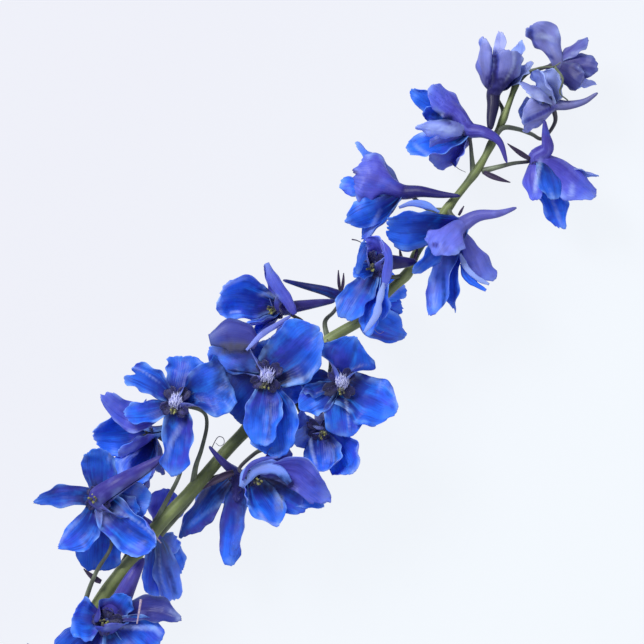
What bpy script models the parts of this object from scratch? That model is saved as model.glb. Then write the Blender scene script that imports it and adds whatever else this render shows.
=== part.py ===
# Cut delphinium spike lying on a surface: one flowering stem with its flower stalks and
# bracts, and twenty-one florets, each a spurred ring of sepals round a small eye.
#
# Places are millimetres in a plane seen from above, x right, y up, z toward the viewer,
# with the stem leaning up to the right. One empty turns that plane so that the stem runs
# along +X with the cut end at -X, and sets the lowest petals down on z = 0.

import math
from collections import namedtuple

import bmesh
import bpy
from mathutils import Matrix, Vector

MM = 0.001

# Driving dimensions, millimetres and degrees
STEM_LEAN = 52.0
SURFACE_DEPTH = 24.0
SPIKE_MIDDLE = (-20.1, -28.8)
STEM_BASE_RADIUS = 2.9
STEM_TIP_RADIUS = 1.2
STALK_RADIUS = 0.8
STALK_FOOT_RADIUS = 1.25
NECK_RADIUS = 1.3
STALK_RUN_IN = 1.6
JOIN_GAP = 0.3
CORE_RADIUS = 2.4
NECK_REACH = 5.2
SEPAL_THICKNESS = 0.7
SEPAL_ROOT_REACH = 1.0
SPUR_TIP_RADIUS = 0.55
BRACT_TIP_RADIUS = 0.35
EYE_FOOT_RADIUS = 1.2
EYE_FOOT_HEIGHT = 1.2
LOBE_START_HEIGHT = 0.5
LOBE_START_REACH = 0.8
LOBE_LENGTH = 3.0
LOBE_SPREAD = 1.3
LOBE_ROOT_WIDTH = 0.8
LOBE_TIP_WIDTH = 2.0
LOBE_THICKNESS = 0.64

# Shares of a length or a width
SEPAL_WIDEST = 0.58
SEPAL_CLAW_WIDTH = 0.2
SEPAL_SWELL = 1.2
SPUR_KNEES = (0.33, 0.68)
SPUR_BACKWARD = 0.5
SPUR_TAPER = 0.9
STALK_TAPER = 0.5
BRACT_MIDDLE_WIDTH = 0.8

# Mesh fineness
STEM_SIDES = 8
STALK_SIDES = 5
SPUR_SIDES = 5
CORE_SEGMENTS = 6
CORE_RINGS = 4
EYE_LOBES = 4
SEPAL_ROWS = (0.0, 0.3, 0.62, 0.9)
FLAT_ANGLE = math.radians(1.0)

# The stem's middle line from the cut end to the tip, with the plane's z for its sag
STEM_LINE = (
    (-117, -161, -21.1), (-107, -146, -16.5), (-96, -129, -9), (-82.3, -107.3, -4),
    (-73.7, -90.3, -2), (-65.3, -80.3, -1), (-55, -68.3, 0), (-42, -54.7, 0),
    (-31, -42, 0), (-15, -25.5, -1), (1, -7.3, -1), (14.7, 1.7, -1),
    (21.7, 9.7, -1), (28.7, 16.5, -1.5), (32, 24, -2), (41.7, 37.7, -3),
    (51.7, 50.7, -4), (57, 60.3, -5), (61, 69, -6), (65, 80, -7),
)

Sepal = namedtuple("Sepal", "tip width bend fold show", defaults=(22, 30, 0))
Floret = namedtuple("Floret", "name centre faces spur stalk sepals spur_root", defaults=(2.1,))
Bract = namedtuple("Bract", "root tip radius")

# Florets from the lowest to the highest. A sepal has its tip, its width, how far its rib
# bends forward, how far its edges fold up, and how far it rolls to show the viewer its
# inner face, or its outer one where that is negative. The first sepal is the spurred one.
# A stalk runs from the stem to just behind the floret.
FLORETS = (
    Floret("01", (-84, -124, 9), (0.35, -0.35, 0.85), (-98, -107, 5),
           ((-98, -132, -9), (-91, -131, -2), (-87, -124.5, 2)),
           (Sepal((-97, -114, 12), 13), Sepal((-72, -109, 14), 14), Sepal((-101, -130, 13), 13),
            Sepal((-68, -132, 11), 14), Sepal((-88, -144, 12), 14))),
    Floret("02", (-71.5, -99.5, 9), (-0.1, 0.2, 0.95), (-60, -81, 5),
           ((-84, -110, -4), (-78, -106, -1), (-71.5, -102, 2.5)),
           (Sepal((-62.5, -92, 11), 9), Sepal((-83.5, -95, 15), 14),
            Sepal((-46.5, -97.5, 14), 11, 10, 60), Sepal((-57.5, -111, 13), 17),
            Sepal((-88, -111, 10), 14)), 3.4),
    Floret("03", (-55, -70.5, -10), (0.1, -0.3, -0.95), (-61.5, -64, -6),
           ((-67, -82, -2), (-64, -76, -6), (-59, -71.5, -8.5)),
           (Sepal((-56, -57, -14), 11), Sepal((-47, -75.5, -14), 10), Sepal((-51.5, -93.5, -15), 13),
            Sepal((-60, -90, -21), 11), Sepal((-48, -84, -25), 12, 8, 10))),
    Floret("04", (-74, -58.5, 10), (-0.3, 0, 0.95), (-53.5, -48.5, 13),
           ((-82, -106, -2), (-79.5, -93, 0), (-75, -83, 3), (-70, -74, 4), (-72, -64.5, 6)),
           (Sepal((-57.5, -56.5, 10), 12, 10), Sepal((-75, -41.5, 13), 13),
            Sepal((-95.3, -58.7, 12), 8, 10), Sepal((-86, -76.3, 12), 12),
            Sepal((-76, -84, 7), 14, 10), Sepal((-54.5, -77.5, 16), 12, 25, 60)), 2.8),
    Floret("05", (-28.5, -50.5, 2), (-0.2, -0.85, -0.45), (-37.5, -41, 8),
           ((-54, -71, -1), (-45, -61, -1), (-39, -53.5, -1), (-33.5, -51, 1)),
           (Sepal((-32, -62, 3), 8, 10), Sepal((-32.5, -80.5, -6), 11, 15, 45, -0.6),
            Sepal((-46.5, -71, -9), 12, 15, 40, -0.6), Sepal((-24, -66, -14), 9),
            Sepal((-39, -65, -25), 12, 8, 10))),
    Floret("06", (-56, -37, -3), (-0.75, -0.1, 0.35), (-46, -33, -12),
           ((-58, -71, 0), (-52, -60, 1), (-47, -49, 0), (-50, -42, -2)),
           (Sepal((-75.5, -36, -3), 14, 22, 30, 0.5), Sepal((-66.5, -51.5, -2), 15, 22, 30, 0.5),
            Sepal((-68, -43, 5), 10),
            Sepal((-62, -31, -25), 12, 8, 10), Sepal((-54, -51, -8), 12))),
    Floret("07", (-23.5, -50.5, 10), (0.6, -0.45, 0.6), (-17, -48, -8),
           ((-17, -30, 0), (-18, -41, 4), (-28, -48.8, 8)),
           (Sepal((-13, -46, 16), 11, 25), Sepal((-22.5, -62.5, 15), 11),
            Sepal((-15, -67.5, 13), 12), Sepal((1.5, -60.5, 9), 11), Sepal((0.5, -53, 0), 15, 22, 30, -0.5))),
    Floret("08", (-48, -27, 13), (-0.25, 0.1, 0.95), (-42, -24, -5),
           ((-43, -55, 0), (-41.5, -47, 3), (-38, -36, 5), (-38, -30, 5), (-44, -29.5, 8)),
           (Sepal((-30, -19.5, 6), 18, 5), Sepal((-50.5, -12, 15), 11),
            Sepal((-65, -16.5, 17), 9, 10), Sepal((-66.5, -31.5, 15), 10, 10),
            Sepal((-73.3, -25.3, 12), 9, 10), Sepal((-49.5, -51.5, 15), 12, 10, 60))),
    Floret("09", (-18, -18, 14), (-0.1, -0.1, 0.98), (-14, -2, -2),
           ((-24, -35, 0), (-22.5, -29, 5), (-20, -22, 8)),
           (Sepal((-36, -3.5, 19), 18, 25, 40), Sepal((-0.5, -3, 18), 20),
            Sepal((-33, -30, 16), 17), Sepal((-15.5, -45, 17), 19, 12), Sepal((-4, -21.5, 5), 12, -5))),
    Floret("10", (-0.5, -35, 8), (0, -0.5, 0.85), (-2, -24, -8),
           ((-11, -20, 0), (-8, -28, 1), (-5, -34, 3)),
           (Sepal((-10, -30, 5), 8), Sepal((9, -30, 3), 8), Sepal((-12.5, -42.5, 12), 10),
            Sepal((-4.5, -49.5, 13), 12), Sepal((9.5, -50.5, 11), 14))),
    Floret("11", (6, -20.5, 14), (0.2, 0.1, 0.97), (8, -12, -2),
           ((2, -6, 0), (3, -14, 3), (1.5, -23, 9)),
           (Sepal((9.5, -4, 16), 16), Sepal((23.7, -29.3, 16), 19), Sepal((7, -37, 16), 15),
            Sepal((-6, -18, 12), 10, 5), Sepal((-7, -29, 15), 9, 10))),
    Floret("12", (-13.5, 4.7, 5), (-0.85, -0.05, 0.5), (4.3, 7, 1.5),
           ((-7, -15, 1), (-5.3, -4, 1), (-6.5, 0, 1), (-9.5, 2, 2)),
           (Sepal((-17.5, 20, 8), 9, 10, 60), Sepal((-34.5, 9, 11), 19, 22, 30, 0.7),
            Sepal((-28.5, -1.5, 14), 12), Sepal((-26, -9.5, 8), 9, 10, 60),
            Sepal((-27, 8, -6), 12)), 3.0),
    Floret("13", (7.5, 8.5, -9), (0.8, -0.3, -0.5), (-12.7, 14, -7),
           ((2, -6, -1), (1, 0, -3), (4, 3.5, -6)),
           (Sepal((28.5, 12, -11), 12, 22, 30, -0.7), Sepal((27, 5, -15), 12, 22, 30, -0.7),
            Sepal((28.5, -5.5, -12), 11, 22, 30, -0.7),
            Sepal((18, -6, -16), 11), Sepal((19, 9, -25), 12, 8, 10)), 2.4),
    Floret("14", (18.5, 19.5, 7), (-0.55, -0.15, 0.8), (32, 20, 3),
           ((28, 15.5, -1.5), (24.5, 15, 0), (21, 15.5, 2)),
           (Sepal((18, 28.5, 14), 12, 25, 50), Sepal((10.5, 16, 13), 8), Sepal((5, 3, 11), 14, 15),
            Sepal((14, -4, 13), 11, 10, 60), Sepal((13, 26, 3), 10)), 3.0),
    Floret("15", (26.5, 43.5, -4), (-0.85, -0.15, -0.45), (45.3, 42, 1.5),
           ((41, 37, -3), (35, 38, -6), (30, 42, -5)),
           (Sepal((10.5, 52, -1), 17, 22, 45, -1.2), Sepal((11.7, 60, -10), 8, 8, 30, -0.5),
            Sepal((6, 47.5, -11), 11), Sepal((6.7, 34, -3), 12, 22, 30, -0.8),
            Sepal((13.5, 24.5, -6), 11, 10, 60, 0.5),
            Sepal((17, 45, -25), 12, 8, 10)), 2.4),
    Floret("16", (46, 32, 4), (-0.5, -0.75, 0.25), (64.7, 38, 6),
           ((42, 38, -3), (43, 36, -1), (45, 34, 1.5)),
           (Sepal((36.5, 22, 15), 17, 30, 45), Sepal((21.5, 31, 9), 19, 0, 30, 0.9),
            Sepal((36.7, 1, 2), 13, 10, 50, 0.3), Sepal((43, 4, -6), 9, 10, 50, 0.3),
            Sepal((56, 13, 6), 15, -5, 60, -0.3), Sepal((32.3, 15.5, 8), 10)), 2.9),
    Floret("17", (48.5, 64.5, 0), (-0.95, 0.1, 0.25), (61.3, 53, 3.5),
           ((50.5, 50, -4), (50, 55, -4), (49.5, 60, -2)),
           (Sepal((33.5, 78, 3), 17, 30, 30, -0.9), Sepal((28.5, 75.5, -6), 11),
            Sepal((31, 64.5, 9), 11), Sepal((28, 58.5, 4), 12, 22, 30, 0.5),
            Sepal((31.5, 53.5, 0), 15, 35, 30, -0.9), Sepal((35, 62, -13), 10)), 3.0),
    Floret("18", (72, 54.5, -7), (0.2, -0.95, 0.25), (74.3, 67, -3),
           ((53.5, 51, -4.5), (59, 52.5, -3), (64, 53.5, -4), (69, 54, -6.5)),
           (Sepal((90, 40.5, -2), 15, 20, 45, -0.9), Sepal((92.5, 48, -13), 7, 8),
            Sepal((70, 40.5, -3), 8, 22, 30, -0.5), Sepal((80.3, 30, -12), 14),
            Sepal((78, 40, -25), 11, 8, 10)), 2.8),
    Floret("19", (57.5, 77, -5), (0, 1, 0.1), (56, 63.5, -1),
           ((60.5, 68, -6), (60.5, 71, -9), (59, 74, -8)),
           (Sepal((61.5, 92, 2), 12, 40, 30, -0.6), Sepal((55, 94.5, -2), 9, 35, 30, -0.6),
            Sepal((59, 98, -11), 7, 30), Sepal((66, 94, -7), 10, 35, 30, 0.3),
            Sepal((69, 87, -5), 11, 20, 30, 0.6)), 2.2),
    Floret("20", (77, 72.5, -7), (-0.9, 0.15, 0.3), (92.3, 75.8, -3),
           ((56.5, 59.5, -5), (61, 64.5, -4), (67, 63, -9), (73, 65, -12), (78, 67.5, -9.5)),
           (Sepal((66.3, 65.5, 1), 14, 22, 45, -0.8), Sepal((69, 82.5, 1), 10, 22, 30, 0.4),
            Sepal((66, 77, 1), 9), Sepal((72, 83.5, -13), 11), Sepal((66, 70.5, -15), 10)), 2.6),
    Floret("21", (79, 86.5, -8), (0.85, 0, -0.35), (77, 80, -19),
           ((65, 80, -7), (69, 83.5, -8), (74, 85, -8)),
           (Sepal((69, 100, -6), 13, -5, 30, -0.5), Sepal((89.7, 94, -8), 8),
            Sepal((92.3, 85.5, -5), 9, 10), Sepal((87, 79, -2), 12, 22, 30, -0.6),
            Sepal((92.5, 77.5, -12), 8), Sepal((88, 82, -25), 10, 8, 10))),
)

# Bracts and bracteoles: thin dark pointed scales on the stem and the stalks
BRACTS = (
    Bract((51.7, 51, -4), (62, 46, -2), 1.0),
    Bract((66, 53.6, -5.2), (61.5, 58.5, -5), 0.9),
    Bract((2.3, 1.6, -4.3), (6, 16, -3), 0.8),
    Bract((-73, -79, 3.5), (-79.5, -84.8, 4), 0.9),
    Bract((27, 17, -1), (25, 24, -3), 0.9),
    Bract((30, 20, -2), (32, 25, 1), 0.9),
    Bract((44, 36, -1), (46.5, 39, 0), 0.7),
)


def clear_scene():
    for item in list(bpy.data.objects):
        bpy.data.objects.remove(item, do_unlink=True)


def make_material(name, colour, roughness):
    material = bpy.data.materials.new(name)
    material.use_nodes = True
    shader = material.node_tree.nodes["Principled BSDF"]
    shader.inputs["Base Color"].default_value = (*colour, 1.0)
    shader.inputs["Roughness"].default_value = roughness
    shader.inputs["Metallic"].default_value = 0.0
    return material


def make_object(name, vertices, faces):
    mesh = bpy.data.meshes.new(name)
    mesh.from_pydata([v * MM for v in vertices], [], faces)
    tidy = bmesh.new()
    tidy.from_mesh(mesh)
    bmesh.ops.recalc_face_normals(tidy, faces=tidy.faces[:])
    tidy.to_mesh(mesh)
    tidy.free()
    made = bpy.data.objects.new(name, mesh)
    bpy.context.scene.collection.objects.link(made)
    return made


def smooth_line(points, steps):
    """Catmull-Rom curve through the points, with its ends kept."""
    line = [Vector(p) for p in points]
    line = [line[0] * 2 - line[1]] + line + [line[-1] * 2 - line[-2]]
    curve = []
    for i in range(1, len(line) - 2):
        a, b, c, d = line[i - 1:i + 3]
        for k in range(steps):
            t = k / steps
            curve.append(0.5 * (2 * b + (c - a) * t + (2 * a - 5 * b + 4 * c - d) * t ** 2
                                + (3 * b - a - 3 * c + d) * t ** 3))
    curve.append(line[-2])
    return curve


def tube(name, line, radii, sides):
    """Closed tube with flat ends; each ring is carried along without turning."""
    along = (line[1] - line[0]).normalized()
    across = along.orthogonal().normalized()
    vertices = []
    for i, point in enumerate(line):
        ahead = line[min(i + 1, len(line) - 1)]
        behind = line[max(i - 1, 0)]
        along = (ahead - behind).normalized()
        across = (across - along * across.dot(along)).normalized()
        other = along.cross(across)
        for k in range(sides):
            turn = 2 * math.pi * k / sides
            vertices.append(point + (across * math.cos(turn) + other * math.sin(turn)) * radii[i])
    faces = []
    for i in range(len(line) - 1):
        for k in range(sides):
            a = i * sides + k
            b = i * sides + (k + 1) % sides
            faces += [(a, b, b + sides), (a, b + sides, a + sides)]
    faces.append(tuple(range(sides)))
    faces.append(tuple(range((len(line) - 1) * sides, len(line) * sides)))
    return make_object(name, vertices, faces)


def sepal_outline(s):
    """Half width along a sepal as a share of its widest: a claw, a broad blade, a round end."""
    if s < SEPAL_WIDEST:
        swell = math.sin(s / SEPAL_WIDEST * math.pi / 2) ** SEPAL_SWELL
        return SEPAL_CLAW_WIDTH + (1 - SEPAL_CLAW_WIDTH) * swell
    return math.sqrt(max(0.0, 1 - ((s - SEPAL_WIDEST) / (1 - SEPAL_WIDEST)) ** 2))


def rib_point(root, tip, radial, forward, lean_start, lean_end, s):
    """Point and heading on a sepal's rib, a Bezier curve in the plane of radial and forward."""
    third = (tip - root).length / 3
    start = radial * math.cos(lean_start) + forward * math.sin(lean_start)
    end = radial * math.cos(lean_end) + forward * math.sin(lean_end)
    a, b, c, d = root, root + start * third, tip - end * third, tip
    u = 1 - s
    point = a * u ** 3 + b * 3 * u * u * s + c * 3 * u * s * s + d * s ** 3
    heading = (b - a) * u * u + (c - b) * 2 * u * s + (d - c) * s * s
    return point, heading.normalized()


def blade(name, centre, faces_way, sepal):
    """Thin closed sepal from the core to its tip, both faces split into like triangles."""
    tip = Vector(sepal.tip) - centre
    radial = (tip - faces_way * tip.dot(faces_way)).normalized()
    root = radial * SEPAL_ROOT_REACH
    chord = tip - root
    rise = math.atan2(chord.dot(faces_way), chord.dot(radial))
    bend = math.radians(sepal.bend)
    surface = []
    for s in SEPAL_ROWS + (1.0,):
        point, heading = rib_point(root, tip, radial, faces_way, rise - bend, rise + bend, s)
        inward = faces_way * heading.dot(radial) - radial * heading.dot(faces_way)
        toward_viewer = Vector((0, 0, 1)) - heading * heading.z
        inward = (inward + toward_viewer * sepal.show).normalized()
        across = inward.cross(heading)
        half = sepal.width / 2 * sepal_outline(s)
        for t in ((-1, 0, 1) if s < 1 else (0,)):
            fold = math.radians(sepal.fold) * t
            spread = math.sin(fold) / math.radians(sepal.fold)
            lift = (1 - math.cos(fold)) / math.radians(sepal.fold)
            place = point + across * half * spread + inward * half * lift
            normal = inward * math.cos(fold) - across * math.sin(fold)
            surface.append((place, normal))
    floor = -SURFACE_DEPTH - centre.z
    upper, lower = [], []
    for place, normal in surface:
        faces_up = normal.z > 0
        for layer, sign in ((upper, 1), (lower, -1)):
            shifted = place + normal * sign * SEPAL_THICKNESS / 2
            lowest = floor + (SEPAL_THICKNESS if faces_up == (sign > 0) else 0.0)
            shifted.z = max(shifted.z, lowest)
            layer.append(shifted)
    last = len(SEPAL_ROWS) - 1
    triangles = []
    for i in range(last):
        for j in range(2):
            a, b = i * 3 + j, (i + 1) * 3 + j
            triangles += [(a, b, b + 1), (a, b + 1, a + 1)] if j else [(a, b, a + 1), (a + 1, b, b + 1)]
    end = (last + 1) * 3
    triangles += [(end - 3, end, end - 2), (end - 2, end, end - 1)]
    count = len(surface)
    border = [i * 3 for i in range(last + 1)] + [end]
    border += [i * 3 + 2 for i in range(last, -1, -1)] + [1]
    shell = list(triangles) + [tuple(v + count for v in reversed(t)) for t in triangles]
    for p, q in zip(border, border[1:] + border[:1]):
        shell += [(p, p + count, q + count), (p, q + count, q)]
    return make_object(name, upper + lower, shell)


def core_ball(name, faces_way):
    ball = bmesh.new()
    bmesh.ops.create_uvsphere(ball, u_segments=CORE_SEGMENTS, v_segments=CORE_RINGS,
                              radius=CORE_RADIUS)
    bmesh.ops.triangulate(ball, faces=ball.faces[:])
    turn = faces_way.to_track_quat("Z", "Y").to_matrix()
    vertices = [turn @ v.co for v in ball.verts]
    triangles = [tuple(v.index for v in f.verts) for f in ball.faces]
    ball.free()
    return make_object(name, vertices, triangles)


def spur(name, centre, faces_way, tip, root_radius):
    """Tapering spur that leaves the core backward and ends at its tip."""
    reach = Vector(tip) - centre
    leave = (reach.normalized() - faces_way * SPUR_BACKWARD).normalized()
    points = [Vector((0, 0, 0)), leave * reach.length * SPUR_KNEES[0], reach * SPUR_KNEES[1], reach]
    line = smooth_line(points, 2)
    radii = []
    for i in range(len(line)):
        share = i / (len(line) - 1)
        radii.append(SPUR_TIP_RADIUS + (root_radius - SPUR_TIP_RADIUS) * (1 - share) ** SPUR_TAPER)
    return tube(name, line, radii, SPUR_SIDES)


def flatten_and_check(mesh):
    """Merge flat scraps into whole faces; True if the mesh is then closed."""
    tidy = bmesh.new()
    tidy.from_mesh(mesh)
    bmesh.ops.dissolve_limit(tidy, angle_limit=FLAT_ANGLE, verts=tidy.verts[:], edges=tidy.edges[:])
    bmesh.ops.triangulate(tidy, faces=tidy.faces[:])
    closed = all(edge.is_manifold for edge in tidy.edges)
    tidy.to_mesh(mesh)
    tidy.free()
    return closed


def union(name, pieces):
    """Join pieces that cross each other into one closed body."""
    group = bpy.data.collections.new(name + "_pieces")
    bpy.context.scene.collection.children.link(group)
    for piece in pieces[1:]:
        bpy.context.scene.collection.objects.unlink(piece)
        group.objects.link(piece)
    joined = pieces[0]
    joined.name = name
    joiner = joined.modifiers.new("union", "BOOLEAN")
    joiner.operation = "UNION"
    joiner.operand_type = "COLLECTION"
    joiner.collection = group
    for solver in ("EXACT", "MANIFOLD"):
        joiner.solver = solver
        bpy.context.view_layer.update()
        shape = joined.evaluated_get(bpy.context.evaluated_depsgraph_get())
        mesh = bpy.data.meshes.new_from_object(shape)
        if flatten_and_check(mesh):
            break
    joined.modifiers.clear()
    joined.data = mesh
    for piece in pieces[1:]:
        bpy.data.objects.remove(piece, do_unlink=True)
    bpy.data.collections.remove(group)
    return joined


def build_sepals(floret, material):
    centre = Vector(floret.centre)
    faces_way = Vector(floret.faces).normalized()
    name = "floret_" + floret.name
    pieces = [core_ball(name + "_core", faces_way)]
    pieces.append(spur(name + "_spur", centre, faces_way, floret.spur, floret.spur_root))
    aim = (Vector(floret.stalk[-1]) - centre).normalized()
    pieces.append(tube(name + "_neck", [Vector((0, 0, 0)), aim * NECK_REACH],
                       [NECK_RADIUS, STALK_RADIUS], STALK_SIDES))
    for i, sepal in enumerate(floret.sepals):
        pieces.append(blade(f"{name}_blade_{i}", centre, faces_way, sepal))
    joined = union(name + "_sepals", pieces)
    joined.location = centre * MM
    joined.data.materials.clear()
    joined.data.materials.append(material)
    return joined


def eye_lobe(name, root, away, faces_way):
    """Small upright petal, a wedge that widens and leans away from the middle of the eye."""
    along = faces_way.cross(away)
    tip = root + faces_way * LOBE_LENGTH + away * LOBE_SPREAD
    vertices = []
    for place, width in ((root, LOBE_ROOT_WIDTH), (tip, LOBE_TIP_WIDTH)):
        for edge in (-1, 1):
            for skin in (-1, 1):
                vertices.append(place + along * edge * width / 2 + away * skin * LOBE_THICKNESS / 2)
    faces = [(0, 1, 3, 2), (4, 5, 7, 6), (0, 1, 5, 4), (1, 3, 7, 5), (3, 2, 6, 7), (2, 0, 4, 6)]
    return make_object(name, vertices, faces)


def build_eye(floret, material):
    """Small inner petals on a short foot in front of the core."""
    centre = Vector(floret.centre)
    faces_way = Vector(floret.faces).normalized()
    up = (Vector(floret.sepals[0].tip) - centre).normalized()
    up = (up - faces_way * up.dot(faces_way)).normalized()
    right = faces_way.cross(up)
    base = faces_way * (CORE_RADIUS + JOIN_GAP)
    name = "floret_" + floret.name
    pieces = [tube(name + "_foot", [base, base + faces_way * EYE_FOOT_HEIGHT],
                   [EYE_FOOT_RADIUS, EYE_FOOT_RADIUS], SPUR_SIDES)]
    for k in range(EYE_LOBES):
        turn = (k + 0.5) * 2 * math.pi / EYE_LOBES
        away = up * math.cos(turn) + right * math.sin(turn)
        root = base + faces_way * LOBE_START_HEIGHT + away * LOBE_START_REACH
        pieces.append(eye_lobe(f"{name}_lobe_{k}", root, away, faces_way))
    joined = union(name + "_eye", pieces)
    joined.location = centre * MM
    joined.data.materials.clear()
    joined.data.materials.append(material)
    return joined


def build_stem(material):
    """Main stem, every flower stalk and every bract, grown together as one piece."""
    line = smooth_line(STEM_LINE, 1)
    radii = []
    for i in range(len(line)):
        share = i / (len(line) - 1)
        radii.append(STEM_BASE_RADIUS + (STEM_TIP_RADIUS - STEM_BASE_RADIUS) * share)
    pieces = [tube("stem_axis", line, radii, STEM_SIDES)]
    for floret in FLORETS:
        centre = Vector(floret.centre)
        aim = (Vector(floret.stalk[-1]) - centre).normalized()
        end = centre + aim * (NECK_REACH + JOIN_GAP)
        route = [Vector(p) for p in floret.stalk[:-1]] + [end + aim * STALK_RUN_IN]
        stalk_line = smooth_line(route, 2 if len(route) < 4 else 1) + [end]
        stalk_radii = []
        for i in range(len(stalk_line)):
            share = i / (len(stalk_line) - 1)
            stalk_radii.append(STALK_FOOT_RADIUS
                               + (STALK_RADIUS - STALK_FOOT_RADIUS) * share ** STALK_TAPER)
        pieces.append(tube("stalk_" + floret.name, stalk_line, stalk_radii, STALK_SIDES))
    for i, bract in enumerate(BRACTS):
        root, tip = Vector(bract.root), Vector(bract.tip)
        widths = [bract.radius, bract.radius * BRACT_MIDDLE_WIDTH, BRACT_TIP_RADIUS]
        pieces.append(tube(f"bract_{i}", [root, root.lerp(tip, 0.5), tip], widths, STALK_SIDES))
    joined = union("stem", pieces)
    joined.data.materials.clear()
    joined.data.materials.append(material)
    return joined


def lay_down(pieces):
    """Turn the plane so that the stem runs along +X, and set the lowest petals on z = 0."""
    turn = Matrix.Rotation(math.radians(-STEM_LEAN), 4, "Z")
    middle = turn @ Vector((*SPIKE_MIDDLE, -SURFACE_DEPTH))
    spike = bpy.data.objects.new("spike", None)
    bpy.context.scene.collection.objects.link(spike)
    spike.location = middle * -MM
    spike.rotation_euler = (0.0, 0.0, math.radians(-STEM_LEAN))
    for piece in pieces:
        piece.parent = spike


def main():
    clear_scene()
    green = make_material("stem_green", (0.12, 0.17, 0.05), 0.55)
    blue = make_material("sepal_blue", (0.03, 0.08, 0.6), 0.5)
    pale = make_material("eye_pale", (0.6, 0.6, 0.85), 0.6)
    pieces = [build_stem(green)]
    for floret in FLORETS:
        pieces.append(build_sepals(floret, blue.copy()))
        pieces.append(build_eye(floret, pale.copy()))
    lay_down(pieces)


main()
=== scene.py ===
import math
import random

import bpy
from mathutils import Matrix, Vector, noise


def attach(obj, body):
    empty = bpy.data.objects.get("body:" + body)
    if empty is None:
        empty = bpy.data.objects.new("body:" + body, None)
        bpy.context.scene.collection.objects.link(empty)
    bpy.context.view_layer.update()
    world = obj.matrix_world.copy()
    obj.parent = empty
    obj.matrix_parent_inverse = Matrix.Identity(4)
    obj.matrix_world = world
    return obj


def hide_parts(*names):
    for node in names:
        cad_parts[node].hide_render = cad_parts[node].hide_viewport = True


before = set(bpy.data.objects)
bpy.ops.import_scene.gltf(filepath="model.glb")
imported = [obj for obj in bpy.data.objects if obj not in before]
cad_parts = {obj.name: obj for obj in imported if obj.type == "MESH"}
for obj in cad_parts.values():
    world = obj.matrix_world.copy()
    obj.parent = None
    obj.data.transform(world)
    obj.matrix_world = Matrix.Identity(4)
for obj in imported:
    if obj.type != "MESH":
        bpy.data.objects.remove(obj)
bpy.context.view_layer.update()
mm = 0.001
lensWay = Vector((0, 0, 1))

# The spike is drawn in a plane as the lens sees it, in mm: x right, y up, z towards the lens.
# The frame has the stem along +X, so the plane is turned and shifted onto it.
layout = {"stemLean": 52.0, "middle": (-20.1, -28.8), "depth": 24.0}
turnToFrame = Matrix.Rotation(math.radians(-layout["stemLean"]), 4, "Z")
shiftToFrame = turnToFrame @ Vector((*layout["middle"], -layout["depth"]))
planeToFrame = Matrix.Scale(mm, 4) @ Matrix.Translation(-shiftToFrame) @ turnToFrame


def smoothstep(low, high, x):
    x = min(1.0, max(0.0, (x - low) / (high - low)))
    return x * x * (3 - 2 * x)


def mix(a, b, share):
    return a + (b - a) * share


def hexColour(text):
    parts = [int(text[i:i + 2], 16) / 255 for i in (1, 3, 5)]
    linear = [c / 12.92 if c <= 0.04045 else ((c + 0.055) / 1.055) ** 2.4 for c in parts]
    return (*linear, 1.0)


# Adds a node and gives back its outputs. A setting is a property of the node or one of its
# sockets, which is linked if its value is another node's output. The stops are a ramp's.
def addNode(tree, kind, settings, stops=()):
    node = tree.nodes.new("ShaderNode" + kind)
    for name, value in settings.items():
        if isinstance(value, bpy.types.NodeSocket):
            tree.links.new(value, node.inputs[name])
        elif isinstance(name, int) or name in node.inputs:
            node.inputs[name].default_value = hexColour(value) if isinstance(value, str) else value
        else:
            setattr(node, name, value)
    while stops and len(node.color_ramp.elements) < len(stops):
        node.color_ramp.elements.new(0.5)
    for k, (place, colour) in enumerate(stops):
        node.color_ramp.elements[k].position = place
        node.color_ramp.elements[k].color = hexColour(colour)
    return node.outputs


def newMaterial(name):
    material = bpy.data.materials.new(name)
    material.use_nodes = True
    material.node_tree.nodes.clear()
    return material, material.node_tree


# Where a point lies on its own petal, stalk or stem, or the tints that it has there
def readMap(tree, name):
    where = addNode(tree, "Attribute", {"attribute_type": "GEOMETRY", "attribute_name": name})
    return addNode(tree, "SeparateXYZ", {0: where["Vector"]})


# Uneven pigment or cells, with spots of about a size in mm
def mottle(tree, spotMm, detail):
    where = addNode(tree, "TexCoord", {})
    # each size reads its own stretch of the noise, so that no two patterns fall together
    apart = addNode(tree, "VectorMath", {"operation": "ADD", 0: where["Object"], 1: (spotMm, 0.0, 0.0)})
    spots = addNode(tree, "TexNoise", {"Vector": apart[0], "Scale": 1 / (spotMm * mm), "Detail": detail,
                                       "Roughness": 0.55})
    return spots[0]


# Settings of a soft mask: a pattern, two levels of it, and the shares that show at those levels
def softMask(pattern, low, high, atLow, atHigh):
    return {"interpolation_type": "SMOOTHSTEP", "Value": pattern, "From Min": low, "From Max": high,
            "To Min": atLow, "To Max": atHigh}


# Lays a colour over another, as far as the product of the masks lets it show
def layColour(tree, under, colour, *masks):
    share = None
    for mask in masks:
        shown = addNode(tree, "MapRange", softMask(*mask))[0]
        if share is None:
            share = shown
        else:
            share = addNode(tree, "Math", {"operation": "MULTIPLY", 0: share, 1: shown})[0]
    return addNode(tree, "Mix", {"data_type": "RGBA", 0: share, 6: under, 7: colour})[2]


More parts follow.
